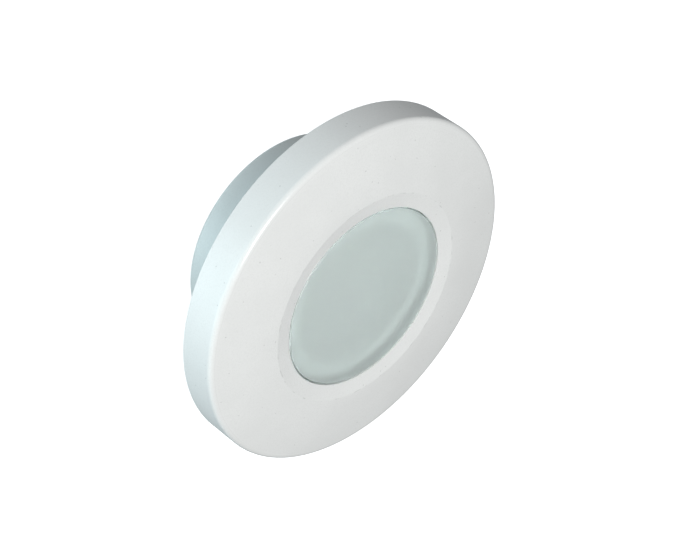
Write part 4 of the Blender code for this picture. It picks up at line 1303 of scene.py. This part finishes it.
@dataclass
class Gland:
    """The cable gland at the back: body, washer, seal, fingers and nut."""

    shop: Workshop
    plastic: bpy.types.Material
    rubber: bpy.types.Material
    cable_bore: float = 0.0045
    thread: float = 0.0078
    hexagon: float = 0.0115
    hexagon_thick: float = 0.0040
    neck: float = 0.0070
    seal_radius: float = 0.0057
    nut_radius: float = 0.0110
    pitch: float = 0.0015
    thread_depth: float = 0.0006

    def build(self) -> None:
        """Makes the gland's five pieces."""
        self.build_body()
        self.build_washer_and_seal()
        self.build_fingers()
        self.build_nut()

    def threaded(self, radius: float, start: float, end: float) -> list[Corner]:
        """The ridges of a thread between two places along Y."""
        points: list[Corner] = []
        for turn in range(int((end - start) / self.pitch)):
            y = start + (turn + 0.25) * self.pitch
            points.append((radius, y, 0.0001))
            points.append((radius - self.thread_depth, y + self.pitch / 2, 0.0001))
        return points

    def build_body(self) -> None:
        """Makes the body with its hexagon and two threads."""
        reach = Reach.of("gland_body")
        washer = Reach.of("gland_washer")
        hexagon = washer.back + GAP
        hexagon_back = hexagon + self.hexagon_thick
        seal_bore = self.seal_radius + GAP
        seat = hexagon_back + 0.0010
        corners: list[Corner] = [
            (self.cable_bore, reach.front, 0.0003),
            (self.thread - 0.0005, reach.front, 0.0003),
            *self.threaded(self.thread, reach.front + 0.0004, hexagon - 0.0012),
            (self.thread - 0.0004, hexagon, 0.0002),
            (self.hexagon, hexagon, 0.0002),
            (self.hexagon, hexagon_back, 0.0008),
            (self.neck - 0.0005, hexagon_back, 0.0003),
            *self.threaded(self.neck, hexagon_back + 0.0004, reach.back - 0.0006),
            (self.neck - 0.0005, reach.back, 0.0002),
            (seal_bore, reach.back, 0.0002),
            (seal_bore, seat, 0.0002),
            (self.cable_bore, seat, 0.0002),
        ]
        body = self.shop.turned("gland_body_shell", corners, self.plastic, 72)
        body = self.shop.six_sided(body, reach, self.hexagon)
        settle(body, Body.HOUSING, ["gland_body"])

    def build_washer_and_seal(self) -> None:
        """Makes the two rubber pieces."""
        corners = band(self.thread + GAP, Reach.of("gland_washer"), 0.0002, 0.0003)
        ring = self.shop.turned("gland_washer_ring", corners, self.rubber, 72)
        settle(ring, Body.HOUSING, ["gland_washer"])
        seal = Reach.of("gland_seal")
        corners = [
            (self.cable_bore, seal.front, 0.0002),
            (self.seal_radius, seal.front, 0.0002),
            (self.seal_radius, seal.back - 0.0008, 0.0002),
            (self.seal_radius - 0.0005, seal.back, 0.0002),
            (self.cable_bore, seal.back, 0.0002),
        ]
        sleeve = self.shop.turned("gland_seal_sleeve", corners, self.rubber, 72)
        settle(sleeve, Body.HOUSING, ["gland_seal"])

    def build_fingers(self) -> None:
        """Makes the slotted ring that the nut presses along."""
        reach = Reach.of("gland_clamp")
        inside = self.seal_radius + GAP
        outside = inside + 0.0010
        corners = [
            (inside, reach.front, 0.0001),
            (outside, reach.front, 0.0001),
            (outside, reach.front + 0.0012, 0.0003),
            (outside - 0.0008, reach.back, 0.0001),
            (inside - 0.0002, reach.back, 0.0),
            (inside, reach.back - 0.0006, 0.0),
        ]
        ring = self.shop.turned("gland_fingers", corners, self.plastic, 72)
        slots = [(around(outside, 60 * (i + 0.5), reach.back), 60 * (i + 0.5)) for i in range(6)]
        size = Vector((0.0040, reach.back - reach.front, 0.0009))
        ring = self.shop.shape(ring, (Cut.REMOVE, self.shop.blocks(slots, size)))
        settle(ring, Body.PUSHER, ["gland_clamp"])

    def build_nut(self) -> None:
        """Makes the six-sided nut with its domed end."""
        reach = Reach.of("gland_nut")
        neck_end = Reach.of("gland_body").back
        bore = self.neck + GAP
        mouth = self.cable_bore + 0.0006
        floor = reach.back - 0.0016
        corners: list[Corner] = [
            (bore, reach.front, 0.0003),
            (self.nut_radius, reach.front, 0.0006),
            (self.nut_radius, reach.back - 0.0028, 0.0012),
            (self.nut_radius - 0.0028, reach.back, 0.0012),
            (mouth, reach.back, 0.0005),
            (mouth, floor, 0.0002),
            (self.seal_radius + 0.0016, floor - 0.0010, 0.0002),
            (bore, neck_end, 0.0),
        ]
        nut = self.shop.turned("gland_cap_nut", corners, self.plastic, 96)
        nut = self.shop.six_sided(nut, reach, self.nut_radius)
        settle(nut, Body.NUT, ["gland_nut"])


# ------------------------------------------------------------------- studio


@dataclass
class Studio:
    """Camera, floor and soft light.

    Attributes:
        azimuth: Degrees from the lamp's front towards its right, seen from above.
        elevation: Degrees above the horizon.
        distance: From the camera to the front of the rim.
        lens: Focal length in millimetres on a sensor 36 mm wide.
        aside: How far to the camera's right of the front's centre it aims.
        above: How far above that centre it aims, upright in the picture.
        aim: The centre of the rim's front edge.
        sensor: The sensor's width in millimetres.
        floor_size: Half the floor's side.
        floor_drop: How far the floor lies under the lamp.
    """

    azimuth: float = -42.435
    elevation: float = 40.29
    distance: float = 0.6561
    lens: float = 87.43
    aside: float = -0.004716
    above: float = 0.005843
    aim: Vector = field(default_factory=lambda: Vector((0.0, -TrimRing.rim_depth, 0.0)))
    sensor: float = 36.0
    floor_size: float = 6.0
    floor_drop: float = 0.0005

    def axes(self) -> tuple[Vector, Vector, Vector]:
        """The camera's right, up and backward directions."""
        a, e = math.radians(self.azimuth), math.radians(self.elevation)
        back = Vector((math.sin(a) * math.cos(e), -math.cos(a) * math.cos(e), math.sin(e)))
        right = Vector((math.cos(a), math.sin(a), 0.0))
        return right, back.cross(right), back

    def build(self) -> None:
        """Sets up the camera, the floor and the light."""
        self.build_camera()
        self.build_floor()
        self.build_lights()
        bpy.context.scene.view_settings.view_transform = "Standard"

    def build_camera(self) -> None:
        """Puts the camera at its place."""
        right, up, back = self.axes()
        data = bpy.data.cameras.new("camera")
        data.sensor_width = self.sensor
        data.lens = self.lens
        data.clip_start = 0.01
        camera = linked("camera", data)
        spot = self.aim + right * self.aside + up * self.above + back * self.distance
        turn = Matrix((right, up, back)).transposed().to_4x4()
        camera.matrix_world = Matrix.Translation(spot) @ turn
        bpy.context.scene.camera = camera

    def build_floor(self) -> None:
        """Lays a plain pale floor just under the lamp."""
        low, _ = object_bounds()
        work = bmesh.new()
        bmesh.ops.create_grid(work, x_segments=1, y_segments=1, size=self.floor_size)
        bmesh.ops.translate(work, verts=work.verts, vec=(0, 0, low.z - self.floor_drop))
        mesh = meshed("floor", work)
        floor = linked("floor", mesh)
        shader = Shader("pale_floor")
        mottle = shader.noise(3.0, 2.0)
        mesh.materials.append(
            shader.surface(
                {
                    "Base Color": shader.blend(mottle, (0.93, 0.935, 0.935), (0.95, 0.955, 0.955)),
                    "Roughness": 0.9,
                    "Emission Color": (1.0, 1.0, 1.0, 1.0),
                    "Emission Strength": 0.75,
                }
            )
        )
        floor.visible_diffuse = False
        floor.visible_glossy = False
        floor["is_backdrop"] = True

    def build_lights(self) -> None:
        """Hangs the soft lights and sets the sky."""
        world = bpy.data.worlds.new("sky")
        bpy.context.scene.world = world
        world.use_nodes = True
        background = world.node_tree.nodes["Background"]
        background.inputs["Color"].default_value = (0.95, 0.98, 1.0, 1.0)
        background.inputs["Strength"].default_value = 0.29
        self.soft_light("side", Vector((-1.5, 0.75, 0.25)), 1.3, 20.0, (0.72, 0.94, 1.0))
        self.soft_light("front", Vector((-0.76, -1.66, 0.82)), 0.9, 29.5, (1.0, 0.99, 0.975))
        self.soft_light("sparkle", Vector((-0.92, -1.60, 0.64)), 0.15, 3.0, (1.0, 1.0, 1.0))

    @staticmethod
    def soft_light(name: str, place: Vector, size: float, power: float, colour: Colour) -> None:
        """Hangs a square soft light that faces the lamp.

        Args:
            name: Its name.
            place: Where it hangs.
            size: The length of its side.
            power: Its power in watts.
            colour: Its colour.
        """
        data = bpy.data.lights.new(name, "AREA")
        data.size = size
        data.energy = power
        data.color = colour
        light = linked(name, data)
        light.location = place
        light.rotation_euler = (-place).to_track_quat("-Z", "Y").to_euler()


# --------------------------------------------------------------------- main


def dress_inner_nodes(steel: bpy.types.Material) -> None:
    """Gives every CAD node that stays its own finish.

    Args:
        steel: The finish of the steel pieces.
    """
    finishes = {
        "stainless_steel": steel,
        "aluminium": TurnedMetal("heat_sink_aluminium", (0.78, 0.79, 0.80), 0.34).make(),
        # The white board's coat is painted grey, well below white, as painted shade for the depth of
        # the reflector seen through the window.
        "board_white": CircuitBoard("white_board_painted_shade", (0.58, 0.60, 0.59), (0.54, 0.55, 0.53)).make(),
        "board_green": CircuitBoard("green_board", (0.02, 0.17, 0.07), (0.06, 0.30, 0.12)).make(),
        "thermal_grey": SoftRubber("thermal_pad_grey", (0.35, 0.38, 0.42)).make(),
        "black_plastic": PlainMoulding("black_moulding", (0.02, 0.02, 0.022)).make(),
        "copper_wire": PlainMoulding("copper_winding", (0.60, 0.22, 0.09), 0.3, 1.0).make(),
        "green_plastic": PlainMoulding("green_moulding", (0.03, 0.32, 0.11)).make(),
        "red_insulation": PlainMoulding("red_wire", (0.50, 0.02, 0.02)).make(),
    }
    for part in frame["record"]["subparts"]:
        node = frame["nodes"][part["node"]]
        if not node.hide_render:
            node.data.materials.clear()
            node.data.materials.append(finishes[part["material_slot"]])
            LOG.info("%s keeps its solid, in %s", part["node"], part["material_slot"])


def main() -> None:
    """Builds the lamp's looks and the studio."""
    shop = Workshop()
    white = MouldedPlastic(
        "white_trim_plastic",
        (0.82, 0.835, 0.828),
        grain_depth=0.00009,
        specks=0.3,
        darkened_radius=TrimRing.dish_radius,
        gloss=(0.0725, -0.0150),
    ).make()
    drum_white = MouldedPlastic("white_drum_plastic", (0.91, 0.95, 0.94), grain_depth=0.00002).make()
    window = Reach.of("window_glass")
    glass = FrostedGlass("window_glass", window.front + 0.0004).make()
    silicone = SoftRubber("white_silicone", (0.88, 0.90, 0.89), 0.5).make()
    rubber = SoftRubber("grey_rubber", (0.035, 0.036, 0.038), 0.62).make()
    steel = TurnedMetal("stainless_steel", (0.72, 0.72, 0.70), 0.45).make()
    bowl = MetallisedBowl("reflector_white", (0.93, 0.95, 0.94), (0.55, 0.59, 0.58), 0.0312).make()
    phosphor = PlainMoulding("led_phosphor", (0.86, 0.80, 0.58), 0.2).make()
    TrimRing(shop, white).build()
    Window(shop, glass, silicone).build()
    Clamping(shop, steel).build()
    Housing(shop, drum_white, rubber).build()
    LightEngine(shop, bowl, phosphor).build()
    Gland(shop, drum_white, rubber).build()
    dress_inner_nodes(steel)
    Studio().build()


if __name__ == "__main__":
    logging.basicConfig(level=logging.INFO, format="%(name)s: %(message)s")
    main()
